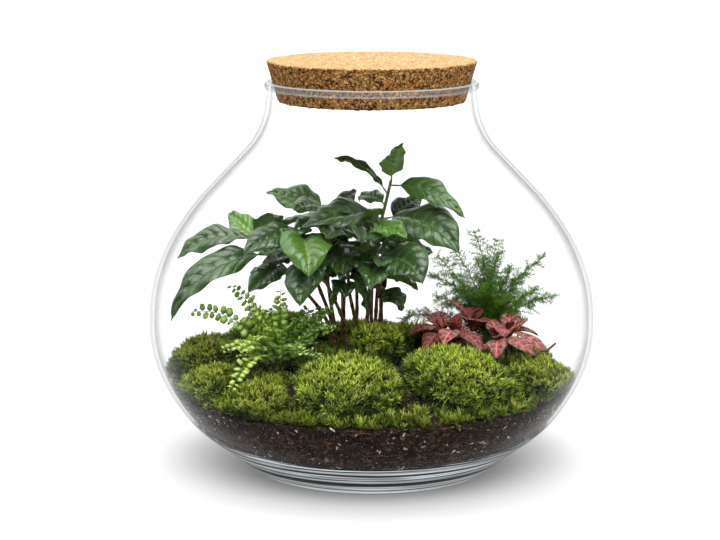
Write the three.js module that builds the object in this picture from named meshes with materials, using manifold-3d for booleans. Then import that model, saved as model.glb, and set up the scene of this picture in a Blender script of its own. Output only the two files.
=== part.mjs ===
// Glass plant terrarium: a blown glass bowl with a tapered cork, planted with coffee seedlings, a button
// fern, asparagus fern and nerve plants, in soil that is covered with cushions of moss.
// Millimetres, +Z up. The origin is the centre of the underside, and the front looks along -Y.

import * as THREE from "three";
import { mergeVertices } from "three/addons/utils/BufferGeometryUtils.js";
import Module from "manifold-3d";

const wasm = await Module();
wasm.setup();

// Bowl. An outline point is [radius, height].
const SIDES = 32; // flats round the bowl, the cork and the soil
const CLEAR = 0.3; // gap between pieces that touch
const WALL = 3.2; // glass thickness from the belly up
const HEEL = 3.4; // extra glass at the foot
const HEEL_TOP = 40; // height where the extra glass has faded out
const FLOOR = 9; // top of the glass floor
const FLOOR_RADIUS = 86;
const FOOT_RING = 62; // inner radius of the flat ring that the bowl stands on
const PUNT = 2.4; // depth of the hollow under the foot
const PUNT_SHOULDER = [46, 1.9]; // where the hollow starts to fall to the ring
const BOWL = [
  [79, 0],
  [86.6, 5],
  [100.5, 16],
  [124.6, 36],
  [141.6, 62],
  [148.8, 84],
  [150, 104],
  [147.7, 125],
  [139, 150],
  [121, 178],
  [98, 203],
  [80.6, 222],
  [72.9, 238],
  [70.2, 254],
];
const RIM = [
  [70.5, 259],
  [69.4, 262],
  [66.6, 262], // the cork sits against this edge
];

// Cork: a tapered bung that sits in the neck.
const CORK_TOP = 276;
const CORK_BOTTOM = 249;
const CORK_TOP_RADIUS = 70;
const CORK_BOTTOM_RADIUS = 62.8;
const CORK_CHAMFER = 0.8;

// Soil: a low mound that falls to the glass.
const SOIL_EDGE = 57; // height of the soil at the glass
const SOIL_MOUND = 20; // how much higher it stands in the middle
const SOIL_RINGS = [112, 84, 50]; // radii where the mound's curve has its corners
const SOIL_INSET = CLEAR * 1.6; // level gap that leaves CLEAR square to the slanting glass

// Moss cushions: centre x and y, radii along x and y, height above the soil.
const MOSS = [
  [-16, -90, 43, 37, 22],
  [56, -72, 41, 38, 25],
  [3, -29, 23, 20, 27],
  [-115, -8, 27, 30, 28],
  [-107, -58, 25, 25, 19],
  [-73, -94, 28, 27, 15],
  [-36, -34, 20, 20, 10],
  [-70, 52, 38, 36, 25],
  [113, -48, 29, 32, 22],
  [31, 8, 20, 20, 20],
  [-5, 88, 44, 38, 12],
  [104, 62, 30, 32, 13],
];
const MOSS_SIDES = 16;
const MOSS_RINGS = 5;
const MOSS_UNDERCUT = 112; // degrees from the crown to the tucked-in lower edge
const MOSS_LIFT = 0.5; // height of the cushion's underside over the soil
const MOSS_APART = 0.7; // half the gap between neighbours
const MOSS_TUFT = 1.8; // depth of the hollows between tufts
const MOSS_FACING = 0.05; // a border more edge-on than this doesn't cut a cushion back

// Bare ground where the stems come up: x, y, radius.
const BARE = [
  [-10, 16, 20],
  [-62, -24, 11],
  [80, 30, 11],
  [57, -8, 9],
  [86, -20, 8],
];

const ROOT_DEPTH = 12; // how deep a stem stands in the soil
const FOOT_RISE = 1; // height over the soil where a stem's drawn curve starts
const HOLE_CLEAR = 1; // a hole's radius over its stem's
const HOLE_SIDES = 4;
const HOLE_OVERSHOOT = 4; // a hole's cutter stands this far out of the soil
const BLADE = 0.7; // leaf thickness
const LEAF_DROP = 0.8; // the topmost leaves join this far under the stem's end
const COFFEE_STEM = 0.95; // radius
const COFFEE_STEPS = 6;
const NERVE_STEM = 1.1; // radius
const NERVE_STEPS = 3;
const NERVE_WHORL = 1.2; // height between one leaf and the next
const STEM_SIDES = 5;

// Coffee seedlings. A stem runs through its points. A leaf is [place along the stem from 0 to 1, tip point,
// width, degrees that it arches over, degrees that it rolls on its midrib].
const COFFEE = [
  {
    stem: [[-25, 13, 77], [-31, 13, 97], [-50, 6, 124], [-77, 0, 155]],
    leaves: [
      [1, [-132, 2, 142], 22, 60, 28],
      [0.88, [-133, -30, 105], 26, 80, 28],
      [1, [-57, -18, 170], 18, 60, 20],
      [0.96, [-99, 28, 168], 20, 30, 30],
      [0.8, [-81, -32, 124], 20, 45, 30],
      [0.72, [-84, 20, 128], 13, 40, 20],
    ],
  },
  {
    stem: [[-24, 19, 77], [-28, 18, 97], [-38, 8, 127], [-46, -6, 162]],
    leaves: [
      [1, [-84, -38, 150], 24, 45, 35],
      [0.97, [-42, -54, 139], 35, 70, 0],
      [0.8, [-62, 24, 150], 22, 50, 10],
    ],
  },
  {
    stem: [[-24, 26, 77], [-26, 24, 94], [-30, 16, 126], [-29, 10, 171]],
    leaves: [
      [1, [-72, 20, 185], 24, 26, 28],
      [0.97, [-53, -18, 178], 23, 60, 25],
      [1, [-9, 34, 183], 13, 25, -30],
      [0.9, [-48, -26, 166], 16, 50, 20],
    ],
  },
  {
    stem: [[-16, 6, 77], [-19, 5, 97], [-28, -2, 120], [-40, -10, 146]],
    leaves: [
      [1, [-46, -50, 119], 33, 70, -10],
      [0.95, [-66, 16, 128], 20, 60, 20],
    ],
  },
  {
    stem: [[-18, 15, 77], [-19, 14, 95], [-19, 10, 127], [-23, 0, 156]],
    leaves: [
      [1, [-28, -42, 150], 24, 60, 10],
      [0.96, [-22, 38, 168], 18, 60, 0],
      [0.86, [-33, -36, 134], 22, 60, 15],
    ],
  },
  {
    stem: [[-10, 4, 77], [-11, 4, 97], [-15, -4, 120], [-16, -14, 142]],
    leaves: [
      [0.94, [-3, -18, 108], 23, 30, 0],
      [0.88, [-28, 2, 110], 15, 30, 0],
    ],
  },
  {
    stem: [[-12, 31, 77], [-10, 32, 94], [-10, 38, 116], [-8, 44, 149]],
    leaves: [
      [1, [-34, 84, 141], 26, 60, 0],
      [0.96, [22, 84, 147], 26, 60, 0],
      [0.8, [8, 86, 118], 22, 50, 0],
    ],
  },
  {
    stem: [[-20, 33, 77], [-20, 36, 94], [-20, 44, 116], [-23, 52, 157]],
    leaves: [
      [1, [-66, 72, 150], 26, 60, 0],
      [0.96, [-24, 96, 146], 24, 60, 0],
      [0.8, [-58, 66, 120], 22, 50, 0],
    ],
  },
  {
    stem: [[-4, 12, 77], [-3, 13, 97], [2, 6, 144], [13, 0, 195]],
    leaves: [
      [1, [21, -12, 222], 25, 45, -15],
      [0.98, [63, -12, 172], 22, 50, -32],
      [0.94, [-26, 12, 209], 12, 55, 10],
      [0.85, [-47, -32, 168], 28, 30, 24],
      [0.83, [59, -26, 150], 34, 65, -26],
      [0.89, [-9, 26, 180], 16, 50, 30],
    ],
  },
  {
    stem: [[2, 4, 77], [0, 4, 97], [0, -6, 130], [-3, -16, 165]],
    leaves: [
      [1, [21, -46, 152], 18, 60, -15],
      [0.97, [4, -32, 181], 18, 50, 0],
      [0.9, [-18, -50, 162], 22, 60, 10],
    ],
  },
  {
    stem: [[2, 20, 77], [3, 19, 97], [5, 12, 126], [14, 4, 166]],
    leaves: [
      [1, [34, 20, 182], 18, 40, -35],
      [0.86, [57, 6, 159], 24, 40, 25],
      [0.8, [43, 24, 141], 17, 50, -30],
    ],
  },
  {
    stem: [[8, 10, 77], [7, 9, 97], [6, -2, 118], [5, -16, 146]],
    leaves: [
      [1, [34, -44, 133], 33, 70, -22],
      [0.72, [20, -18, 109], 22, 40, 0],
      [0.82, [32, 10, 118], 13, 40, 0],
      [0.9, [-2, -52, 130], 22, 60, 0],
    ],
  },
  {
    stem: [[5, 30, 77], [6, 32, 94], [9, 38, 116], [15, 48, 144]],
    leaves: [
      [1, [60, 62, 138], 26, 60, 0],
      [0.96, [30, 88, 130], 24, 60, 0],
      [0.92, [40, 34, 166], 22, 60, -20],
    ],
  },
];

// Button fern: fronds from one crown. A frond is [tip point, degrees that it arches over, degrees of roll].
const FERN_CROWN = [-62, -24];
const FERN_HEART = 7; // radius of the ring of stalks
const FERN_SPAN = 13.5; // across a pair of leaflets
const FERN_PAIRS = 9;
const FERN_BARE = 0.14; // share of bare stalk below the first leaflets
const FERN_RIB = 0.5; // half width of the rib and stalk
const FERN = [
  [[-121, -14, 108], 90, 60],
  [[-96, 8, 122], 60, 50],
  [[-84, -30, 124], 50, 40],
  [[-60, -40, 129], 20, 0],
  [[-21, -42, 97], 70, -35],
  [[-26, -14, 111], 60, -40],
  [[-98, -52, 90], 90, 30],
  [[-92, -72, 88], 80, 20],
  [[-80, -98, 84], 90, 0],
  [[-44, -72, 92], 80, -10],
  [[-42, 10, 104], 70, 0],
];

// Asparagus fern: arching sprays from one crown. A spray is [tip point, degrees that it arches over].
const SPRAY_CROWN = [80, 30];
const SPRAY_HEART = 5;
const SPRAY_PAIRS = 10;
const SPRAY_BARE = 0.18;
const SPRAY_RIB = 0.5;
const SPRAY_BASE = 0.28; // share of a step that a side branch's foot takes up
const SPRAY_BRANCH = 19; // longest side branch
const SPRAY_SWEEP = 0.1; // steps that a branch points forward for each millimetre of its length
const SPRAY_TILTS = [0.1, 0.8, -0.55, 0.45, -0.2]; // radians up or down, taken by turns
const SPRAYS = [
  [[70, 22, 157], 45],
  [[110, 32, 142], 60],
  [[112, -8, 122], 60],
  [[122, 44, 112], 90],
  [[62, 66, 142], 60],
  [[48, 28, 130], 85],
  [[28, 52, 104], 90],
];

// Nerve plants: short shoots. A leaf is [tip point, width, degrees that it arches over].
const NERVE = [
  {
    foot: [51, -7],
    top: [48, -8, 95],
    leaves: [
      [[26, -16, 93], 14, 60],
      [[34, 4, 103], 13, 50],
      [[35, -34, 84], 15, 60],
      [[46, 14, 103], 14, 50],
    ],
  },
  {
    foot: [56, -13],
    top: [56, -18, 96],
    leaves: [
      [[48, -44, 84], 15, 60],
      [[68, -44, 83], 17, 60],
      [[60, -14, 108], 12, 50],
    ],
  },
  {
    foot: [61, -4],
    top: [67, -2, 99],
    leaves: [
      [[52, 4, 112], 12, 60],
      [[82, -10, 99], 14, 60],
      [[74, 18, 105], 14, 50],
    ],
  },
  {
    foot: [84, -24],
    top: [85, -27, 93],
    leaves: [
      [[78, -50, 84], 15, 60],
      [[103, -50, 81], 17, 60],
      [[80, -10, 100], 14, 50],
    ],
  },
  {
    foot: [90, -17],
    top: [92, -14, 95],
    leaves: [
      [[113, -36, 82], 13, 60],
      [[114, -10, 90], 15, 60],
      [[106, 2, 100], 15, 50],
      [[92, 10, 102], 13, 50],
    ],
  },
];

// Bends that clear a neighbour, tried in this order: degrees of swing about the root, degrees of lift.
const BENDS = [];
for (const lift of [0, 8, -8, 16, -16, 26, 36]) {
  for (const swing of [0, 8, -8, 16, -16, 26, -26, 38, -38]) {
    BENDS.push([swing, lift]);
  }
}
BENDS.sort((a, b) => Math.hypot(...a) - Math.hypot(...b));

const STEEPEST = 86; // degrees
const OVERLAP = 1e-4; // cubic millimetres that count as a crossing

const rad = THREE.MathUtils.degToRad;
const vec = (p) => new THREE.Vector3(...p);

// The radius of a straight-sided outline at a height.
function radiusAt(outline, z) {
  for (let i = 1; i < outline.length; i++) {
    const [r0, z0] = outline[i - 1];
    const [r1, z1] = outline[i];
    if (z <= z1) return r0 + ((r1 - r0) * (z - z0)) / (z1 - z0);
  }
  return outline.at(-1)[0];
}

// The inside of the glass, from the floor up to the neck.
const INSIDE = [
  [FLOOR_RADIUS, FLOOR],
  ...BOWL.filter(([, z]) => z > FLOOR).map(([r, z]) => {
    const fade = Math.max(0, 1 - z / HEEL_TOP);
    return [r - WALL - HEEL * fade * fade, z];
  }),
];
const FLAT = Math.cos(Math.PI / SIDES); // share of the radius at the middle of a flat
const insideAt = (z) => radiusAt(INSIDE, z) * FLAT;

// Soil height at a place.
const SOIL_RADIUS = radiusAt(INSIDE, SOIL_EDGE) - SOIL_INSET;
function soilAt(x, y) {
  const reach = Math.hypot(x, y) / SOIL_RADIUS;
  return SOIL_EDGE + SOIL_MOUND * (1 - reach * reach);
}

// A geometry as a closed solid, with its shared vertices joined.
function solid(geometry) {
  const bare = geometry.index ? geometry.toNonIndexed() : geometry.clone();
  bare.deleteAttribute("normal");
  bare.deleteAttribute("uv");
  const merged = mergeVertices(bare, 1e-4);
  const faces = [];
  for (let i = 0; i < merged.index.count; i += 3) {
    const [a, b, c] = [0, 1, 2].map((k) => merged.index.getX(i + k));
    if (a !== b && b !== c && c !== a) faces.push(a, b, c);
  }
  return new wasm.Manifold(
    new wasm.Mesh({
      numProp: 3,
      vertProperties: merged.attributes.position.array,
      triVerts: new Uint32Array(faces),
    }),
  );
}

// A solid as a geometry.
function geometryOf(body) {
  const mesh = body.getMesh();
  const geometry = new THREE.BufferGeometry();
  geometry.setAttribute("position", new THREE.BufferAttribute(mesh.vertProperties, 3));
  geometry.setIndex(new THREE.BufferAttribute(mesh.triVerts, 1));
  geometry.computeVertexNormals();
  return geometry;
}

// A body turned about the Z axis from [radius, height] points.
function turned(outline) {
  const points = outline.map(([r, z]) => new THREE.Vector2(r, z));
  return solid(new THREE.LatheGeometry(points, SIDES).rotateX(Math.PI / 2));
}

// A closed body from a list of points and a list of faces.
function faceted(points, faces) {
  const geometry = new THREE.BufferGeometry();
  geometry.setAttribute("position", new THREE.Float32BufferAttribute(points.flat(), 3));
  geometry.setIndex(faces.flat());
  return solid(geometry);
}

// A stalk along a smooth curve through points.
function stalk(points, radius, steps) {
  const ring = new THREE.Shape();
  for (let i = 0; i < STEM_SIDES; i++) {
    const angle = (i / STEM_SIDES) * Math.PI * 2;
    const place = [radius * Math.cos(angle), radius * Math.sin(angle)];
    if (i) ring.lineTo(...place);
    else ring.moveTo(...place);
  }
  const extrudePath = new THREE.CatmullRomCurve3(points);
  return solid(new THREE.ExtrudeGeometry(ring, { steps, extrudePath, bevelEnabled: false }));
}

// The arching line from a root to a tip, in the upright plane through both. At a place t from 0 to 1 it
// gives the point and the directions along the line, across it and out of its upper side.
function arch(root, tip, turn, roll = 0) {
  const chord = tip.clone().sub(root);
  const flat = Math.hypot(chord.x, chord.y);
  const heading = new THREE.Vector3(chord.x / flat, chord.y / flat, 0);
  const bend = rad(Math.max(turn, 1));
  const length = (chord.length() * (bend / 2)) / Math.sin(bend / 2);
  const start = Math.atan2(chord.z, flat) + bend / 2;
  return (t) => {
    const pitch = start - bend * t;
    const out = (length * (Math.sin(start) - Math.sin(pitch))) / bend;
    const rise = (length * (Math.cos(pitch) - Math.cos(start))) / bend;
    const at = root.clone().addScaledVector(heading, out);
    at.z += rise;
    const along = heading.clone().multiplyScalar(Math.cos(pitch));
    along.z = Math.sin(pitch);
    const level = new THREE.Vector3(heading.y, -heading.x, 0);
    const upright = level.clone().cross(along);
    const across = level.clone().multiplyScalar(Math.cos(rad(roll)));
    across.addScaledVector(upright, Math.sin(rad(roll)));
    const upper = across.clone().cross(along);
    return { at, along, across, upper };
  };
}

// A thin closed blade along an arch. Each station is [t, half width, edge height], and grow swells the blade
// for a clearance test. Both sides are split along the same diagonals, so that a waved blade keeps its
// thickness.
function blade(line, stations, grow = 0) {
  const points = [];
  const faces = [];
  for (const [t, half, lift] of stations) {
    const { at, across, upper } = line(t);
    for (const [side, face] of [[-1, 1], [0, 1], [1, 1], [-1, 0], [0, 0], [1, 0]]) {
      const point = at.clone().addScaledVector(across, side * (half + grow));
      const height = side ? lift : 0;
      point.addScaledVector(upper, height + (face ? grow : -BLADE - grow));
      points.push(point.toArray());
    }
  }
  const quad = (a, b, c, d) => faces.push([a, b, c], [a, c, d]);
  for (let i = 0; i + 1 < stations.length; i++) {
    const a = i * 6;
    const b = a + 6;
    quad(a, a + 1, b + 1, b);
    quad(a + 1, a + 2, b + 2, b + 1);
    quad(a + 3, b + 3, b + 4, a + 4);
    quad(a + 4, b + 4, b + 5, a + 5);
    quad(a + 2, a + 5, b + 5, b + 2);
    quad(a + 3, a, b, b + 3);
  }
  const last = (stations.length - 1) * 6;
  quad(1, 0, 3, 4);
  quad(2, 1, 4, 5);
  quad(last, last + 1, last + 4, last + 3);
  quad(last + 1, last + 2, last + 5, last + 4);
  return faceted(points, faces);
}

// Outline of a leaf: a short stalk, a blade that is widest before its middle, and a drawn-out tip.
const LEAF_STALK = 0.12; // share of the leaf's length
const LEAF_STALK_HALF = 0.55; // half the stalk's width
function leafHalf(t, width) {
  const place = Math.max(0, (t - LEAF_STALK) / (1 - LEAF_STALK));
  const shape = Math.sin(Math.PI * place ** 0.85) ** 0.85 * (1 - 0.25 * place ** 3);
  return Math.max(LEAF_STALK_HALF, (width / 2) * shape);
}

// Coffee leaf: the margin waves up and down between the side veins.
const COFFEE_PLACES = [0, 0.13, 0.3, 0.48, 0.66, 0.84, 1];
const SMALL_PLACES = [0, 0.13, 0.36, 0.6, 0.84, 1];
const SMALL_WIDTH = 23; // narrower leaves have fewer stations
const COFFEE_WAVE = 1.3; // height of the margin's waves
const COFFEE_CUP = 0.16; // rise of the margin for each millimetre of half width
const WAVED_HALF = 2; // the stalk and the tip, narrower than this, don't wave
function coffeeLeaf(line, width, grow, from = 0) {
  const places = width < SMALL_WIDTH ? SMALL_PLACES : COFFEE_PLACES;
  const stations = places.slice(from).map((t, i) => {
    const half = leafHalf(t, width);
    const wave = half > WAVED_HALF ? COFFEE_WAVE * (i % 2 ? 1 : -1) : 0;
    return [t, half, wave + COFFEE_CUP * half];
  });
  return blade(line, stations, grow);
}

// Nerve plant leaf: a small oval with a shallow cup.
const NERVE_PLACES = [0, 0.16, 0.42, 0.72, 1];
const NERVE_CUP = 0.18;
function nerveLeaf(line, width, grow, from = 0) {
  const stations = NERVE_PLACES.slice(from).map((t) => {
    const half = leafHalf(t, width);
    return [t, half, NERVE_CUP * half];
  });
  return blade(line, stations, grow);
}

// A thin arched blade that is cut to the rib. Its stalk goes straight down into the soil. Each step along the
// rib carries a pair of lobes, and lobe(place, side, i) lists a lobe's edge as [share of the step, distance
// out, height over the rib], from its lower end to its upper end.
function cutBlade(line, { bare, rib, pairs, base, lobe }, grow = 0) {
  const points = [];
  const faces = [];
  const rim = { [-1]: [], 1: [] };
  const put = (t, side, out, height = 0) => {
    const { at, across, upper } = line(THREE.MathUtils.clamp(t, 0, 1));
    const edge = at.clone().addScaledVector(across, side * (out + grow)).addScaledVector(upper, height);
    if (t < 0) edge.z -= ROOT_DEPTH;
    points.push(edge.clone().addScaledVector(upper, grow).toArray());
    points.push(edge.clone().addScaledVector(upper, -BLADE - grow).toArray());
    return points.length / 2 - 1;
  };
  const both = (a, b, c) => faces.push([2 * a, 2 * b, 2 * c], [2 * c + 1, 2 * b + 1, 2 * a + 1]);
  let before = null;
  const station = (t) => {
    const here = { [-1]: put(t, -1, rib), 1: put(t, 1, rib) };
    if (before) {
      both(before[-1], before[1], here[1]);
      both(before[-1], here[1], here[-1]);
    }
    return here;
  };
  const advance = (t) => {
    const here = station(t);
    for (const side of [-1, 1]) rim[side].push(here[side]);
    before = here;
  };
  advance(grow ? 0 : -1);
  if (!grow) advance(0);
  advance(bare);
  const step = (1 - bare) / pairs;
  for (let i = 0; i < pairs; i++) {
    const t = bare + i * step;
    const here = station(t + step * base);
    for (const side of [-1, 1]) {
      const edge = lobe((i + 0.5) / pairs, side, i).map(([share, out, height]) => {
        return put(t + step * share, side, out, height);
      });
      const fan = [before[side], ...edge, here[side]];
      for (let k = 1; k + 1 < fan.length; k++) {
        if (side > 0) both(fan[0], fan[k], fan[k + 1]);
        else both(fan[k + 1], fan[k], fan[0]);
      }
      rim[side].push(...edge, here[side]);
    }
    before = here;
    if (base < 1 && i + 1 < pairs) advance(t + step);
  }
  const loop = [...rim[1], ...rim[-1].reverse()];
  loop.forEach((a, i) => {
    const b = loop[(i + 1) % loop.length];
    faces.push([2 * a, 2 * a + 1, 2 * b + 1], [2 * a, 2 * b + 1, 2 * b]);
  });
  return faceted(points, faces);
}

// Fern leaflets are round and close, smaller at both ends of the frond.
const FERN_CUT = {
  bare: FERN_BARE,
  rib: FERN_RIB,
  pairs: FERN_PAIRS,
  base: 1,
  lobe: (place) => {
    const out = (FERN_SPAN / 2) * Math.min(1, 0.5 + 1.6 * place) * (1 - 0.55 * place ** 4);
    return [[0.08, out * 0.55, 0], [0.55, out, 0], [0.94, out * 0.6, 0]];
  },
};

// Asparagus side branches are slim and point forward, and are shorter at both ends of the spray.
const SPRAY_CUT = {
  bare: SPRAY_BARE,
  rib: SPRAY_RIB,
  pairs: SPRAY_PAIRS,
  base: SPRAY_BASE,
  lobe: (place, side, i) => {
    const tilt = SPRAY_TILTS[(2 * i + (side > 0 ? 1 : 0)) % SPRAY_TILTS.length];
    const length = SPRAY_BRANCH * Math.min(1, 0.55 + 1.4 * place) * (1 - 0.7 * place);
    return [[SPRAY_BASE + SPRAY_SWEEP * length, length * Math.cos(tilt), length * Math.sin(tilt)]];
  },
};

// Places that are taken. A new piece may touch its own owner's pieces where its root is, so it gives two
// bodies: all of it, which keeps clear of the others, and its free part, which keeps clear of everything.
const taken = [];
function take(body, owner) {
  taken.push({ body, owner, box: body.boundingBox() });
  return body;
}
function crosses(body, counts) {
  const box = body.boundingBox();
  return taken.some((other) => {
    if (!counts(other.owner)) return false;
    for (let k = 0; k < 3; k++) {
      if (box.min[k] > other.box.max[k] || box.max[k] < other.box.min[k]) return false;
    }
    return body.intersect(other.body).volume() > OVERLAP;
  });
}

// The tip of a leaf after a bend about its root.
function bent(root, tip, [swing, lift]) {
  const reach = tip.clone().sub(root);
  const heading = Math.atan2(reach.y, reach.x) + rad(swing);
  const length = reach.length();
  const slope = Math.atan2(reach.z, Math.hypot(reach.x, reach.y)) + rad(lift);
  const pitch = THREE.MathUtils.clamp(slope, -rad(STEEPEST), rad(STEEPEST));
  const out = length * Math.cos(pitch);
  const rise = length * Math.sin(pitch);
  const offset = new THREE.Vector3(out * Math.cos(heading), out * Math.sin(heading), rise);
  return root.clone().add(offset);
}

// The first bend that keeps a piece clear, as the arch that it follows.
function clearArch({ root, tip, turn, roll = 0, owner, whole, free, label }) {
  for (const bend of BENDS) {
    const line = arch(root, bent(root, tip, bend), turn, roll);
    if (crosses(whole(line), (other) => other !== owner)) continue;
    if (free && crosses(free(line), (other) => other === owner)) continue;
    return line;
  }
  throw new Error(`${label} finds no clear place`);
}

// A named mesh. Its own origin is its foot, where it stands in its group.
const part = new THREE.Group();
const holder = new THREE.Group();
const planting = new THREE.Group();
part.add(holder, planting);
function node(group, name, body, foot, look) {
  const ownBody = body.translate(foot.map((v) => -v));
  const mesh = new THREE.Mesh(geometryOf(ownBody), new THREE.MeshStandardMaterial(look));
  mesh.name = name;
  mesh.position.set(...foot);
  group.add(mesh);
}
const numbered = (name, i) => `${name}_${String(i + 1).padStart(2, "0")}`;
const union = (bodies) => wasm.Manifold.union(bodies);

// Glass: the foot, the outside, the rim and the inside, in one turned outline.
function glassVessel() {
  const under = [[0, PUNT], PUNT_SHOULDER, [FOOT_RING, 0]];
  const inside = [...INSIDE].reverse();
  return turned([...under, ...BOWL, ...RIM, ...inside, [0, FLOOR]]);
}

function corkStopper() {
  return turned([
    [0, CORK_BOTTOM],
    [CORK_BOTTOM_RADIUS - CORK_CHAMFER, CORK_BOTTOM],
    [CORK_BOTTOM_RADIUS, CORK_BOTTOM + CORK_CHAMFER],
    [CORK_TOP_RADIUS, CORK_TOP - CORK_CHAMFER],
    [CORK_TOP_RADIUS - CORK_CHAMFER, CORK_TOP],
    [0, CORK_TOP],
  ]);
}

function soilBed() {
  const low = INSIDE.filter(([, z]) => z < SOIL_EDGE).map(([r, z]) => [r - SOIL_INSET, z]);
  low[0] = [low[0][0], FLOOR + CLEAR];
  const top = SOIL_RINGS.map((r) => [r, soilAt(r, 0)]);
  return turned([[0, FLOOR + CLEAR], ...low, [SOIL_RADIUS, SOIL_EDGE], ...top, [0, soilAt(0, 0)]]);
}

// How far a cushion reaches at an angle: an oval, cut back where a neighbour or bare ground begins.
function mossReach(index, angle) {
  const [x, y, rx, ry] = MOSS[index];
  const own = (rx + ry) / 2;
  let reach = (rx * ry) / Math.hypot(ry * Math.cos(angle), rx * Math.sin(angle));
  const sites = [...MOSS.map(([sx, sy, a, b]) => [sx, sy, (a + b) / 2]), ...BARE];
  sites.forEach(([sx, sy, size], i) => {
    if (i === index) return;
    const apart = Math.hypot(sx - x, sy - y);
    const facing = ((sx - x) * Math.cos(angle) + (sy - y) * Math.sin(angle)) / apart;
    const border = (apart * apart + own * own - size * size) / (2 * apart) - MOSS_APART;
    if (facing > MOSS_FACING) reach = Math.min(reach, border / facing);
  });
  return reach;
}

// Moss cushion: a dome with hollows between its tufts, tucked in at its lower edge and held by the glass.
function mossCushion(index) {
  const [x, y, , , height] = MOSS[index];
  const points = [];
  const faces = [];
  const base = (px, py) => soilAt(px, py) + MOSS_LIFT;
  const low = Math.cos(rad(MOSS_UNDERCUT));
  points.push([x, y, base(x, y) + height], [x, y, base(x, y)]);
  for (let ring = 1; ring <= MOSS_RINGS; ring++) {
    const slope = rad((MOSS_UNDERCUT * ring) / MOSS_RINGS);
    for (let i = 0; i < MOSS_SIDES; i++) {
      const angle = (i / MOSS_SIDES) * Math.PI * 2;
      const tuft = ring < MOSS_RINGS && (i + ring) % 2 ? MOSS_TUFT : 0;
      const out = (mossReach(index, angle) - tuft) * Math.sin(slope);
      const share = (Math.cos(slope) - low) / (1 - low);
      const rise = height * share - tuft * Math.max(0, Math.cos(slope));
      const place = new THREE.Vector2(x + out * Math.cos(angle), y + out * Math.sin(angle));
      place.clampLength(0, insideAt(SOIL_EDGE + rise) - 2 * CLEAR);
      points.push([place.x, place.y, base(place.x, place.y) + rise]);
    }
  }
  const at = (ring, i) => 2 + (ring - 1) * MOSS_SIDES + (i % MOSS_SIDES);
  for (let i = 0; i < MOSS_SIDES; i++) {
    faces.push([0, at(1, i), at(1, i + 1)]);
    faces.push([1, at(MOSS_RINGS, i + 1), at(MOSS_RINGS, i)]);
    for (let ring = 1; ring < MOSS_RINGS; ring++) {
      faces.push([at(ring, i), at(ring + 1, i), at(ring + 1, i + 1)]);
      faces.push([at(ring, i), at(ring + 1, i + 1), at(ring, i + 1)]);
    }
  }
  return faceted(points, faces);
}

const glass = take(glassVessel(), "glass");
const moss = MOSS.map((_, i) => take(mossCushion(i), "moss"));

// A plain hole in the soil for a stem, and a stem from its root in the soil.
const holes = [];
function hole(foot, radius) {
  const ground = soilAt(foot.x, foot.y);
  const bottom = ground - ROOT_DEPTH - 2 * CLEAR;
  const height = ground + HOLE_OVERSHOOT - bottom;
  const wide = radius + HOLE_CLEAR;
  const plug = new THREE.CylinderGeometry(wide, wide, height, HOLE_SIDES);
  plug.rotateX(Math.PI / 2).translate(foot.x, foot.y, bottom + height / 2);
  holes.push(solid(plug));
}
function rooted(points, radius, steps) {
  const foot = points[0];
  hole(foot, radius);
  const root = new THREE.Vector3(foot.x, foot.y, soilAt(foot.x, foot.y) - ROOT_DEPTH);
  return stalk([root, ...points], radius, steps);
}

// Coffee: every stem first, then the leaves, the largest before the smaller.
const seedlings = COFFEE.map(({ stem }, i) => {
  const owner = numbered("coffee", i);
  return { owner, foot: stem[0], bodies: [take(rooted(stem.map(vec), COFFEE_STEM, COFFEE_STEPS), owner)] };
});
const leafRoot = (path, place) => {
  const drop = place < 1 ? 0 : LEAF_DROP;
  return path.getPoint(place).sub(new THREE.Vector3(0, 0, drop));
};
COFFEE.flatMap(({ stem, leaves }, i) => {
  const path = new THREE.CatmullRomCurve3(stem.map(vec));
  return leaves.map(([place, tip, width, turn, roll]) => {
    const root = leafRoot(path, place);
    return { i, root, tip: vec(tip), width, turn, roll, size: width * root.distanceTo(vec(tip)) };
  });
})
  .sort((a, b) => b.size - a.size)
  .forEach(({ i, width, ...leaf }) => {
    const { owner, bodies } = seedlings[i];
    const whole = (line) => coffeeLeaf(line, width, CLEAR);
    const free = (line) => coffeeLeaf(line, width, CLEAR, 2);
    const line = clearArch({ ...leaf, owner, whole, free, label: `a leaf of ${owner}` });
    bodies.push(take(coffeeLeaf(line, width, 0), owner));
  });

// Fern and asparagus: a stalk stands on a ring round the crown, on the side that its tip leans to.
const FULL_REACH = 45; // a tip this far out has its stalk at the edge of the crown
function crownFoot([x, y], heart, tip) {
  const reach = new THREE.Vector2(tip[0] - x, tip[1] - y);
  const share = Math.min(1, reach.length() / FULL_REACH);
  reach.setLength(heart * share);
  const px = x + reach.x;
  const py = y + reach.y;
  return new THREE.Vector3(px, py, soilAt(px, py) + FOOT_RISE);
}

function crownPieces(list, crown, heart, cut, name) {
  return list.map(([tip, turn, roll], i) => {
    const owner = numbered(name, i);
    const root = crownFoot(crown, heart, tip);
    const whole = (line) => cutBlade(line, cut, CLEAR).add(cutBlade(line, cut)); // with its buried stalk
    const line = clearArch({ root, tip: vec(tip), turn, roll, owner, whole, label: owner });
    hole(root, cut.rib);
    return { foot: root.toArray(), body: take(cutBlade(line, cut), owner) };
  });
}
const sprays = crownPieces(SPRAYS, SPRAY_CROWN, SPRAY_HEART, SPRAY_CUT, "spray");
const fronds = crownPieces(FERN, FERN_CROWN, FERN_HEART, FERN_CUT, "frond");

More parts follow.
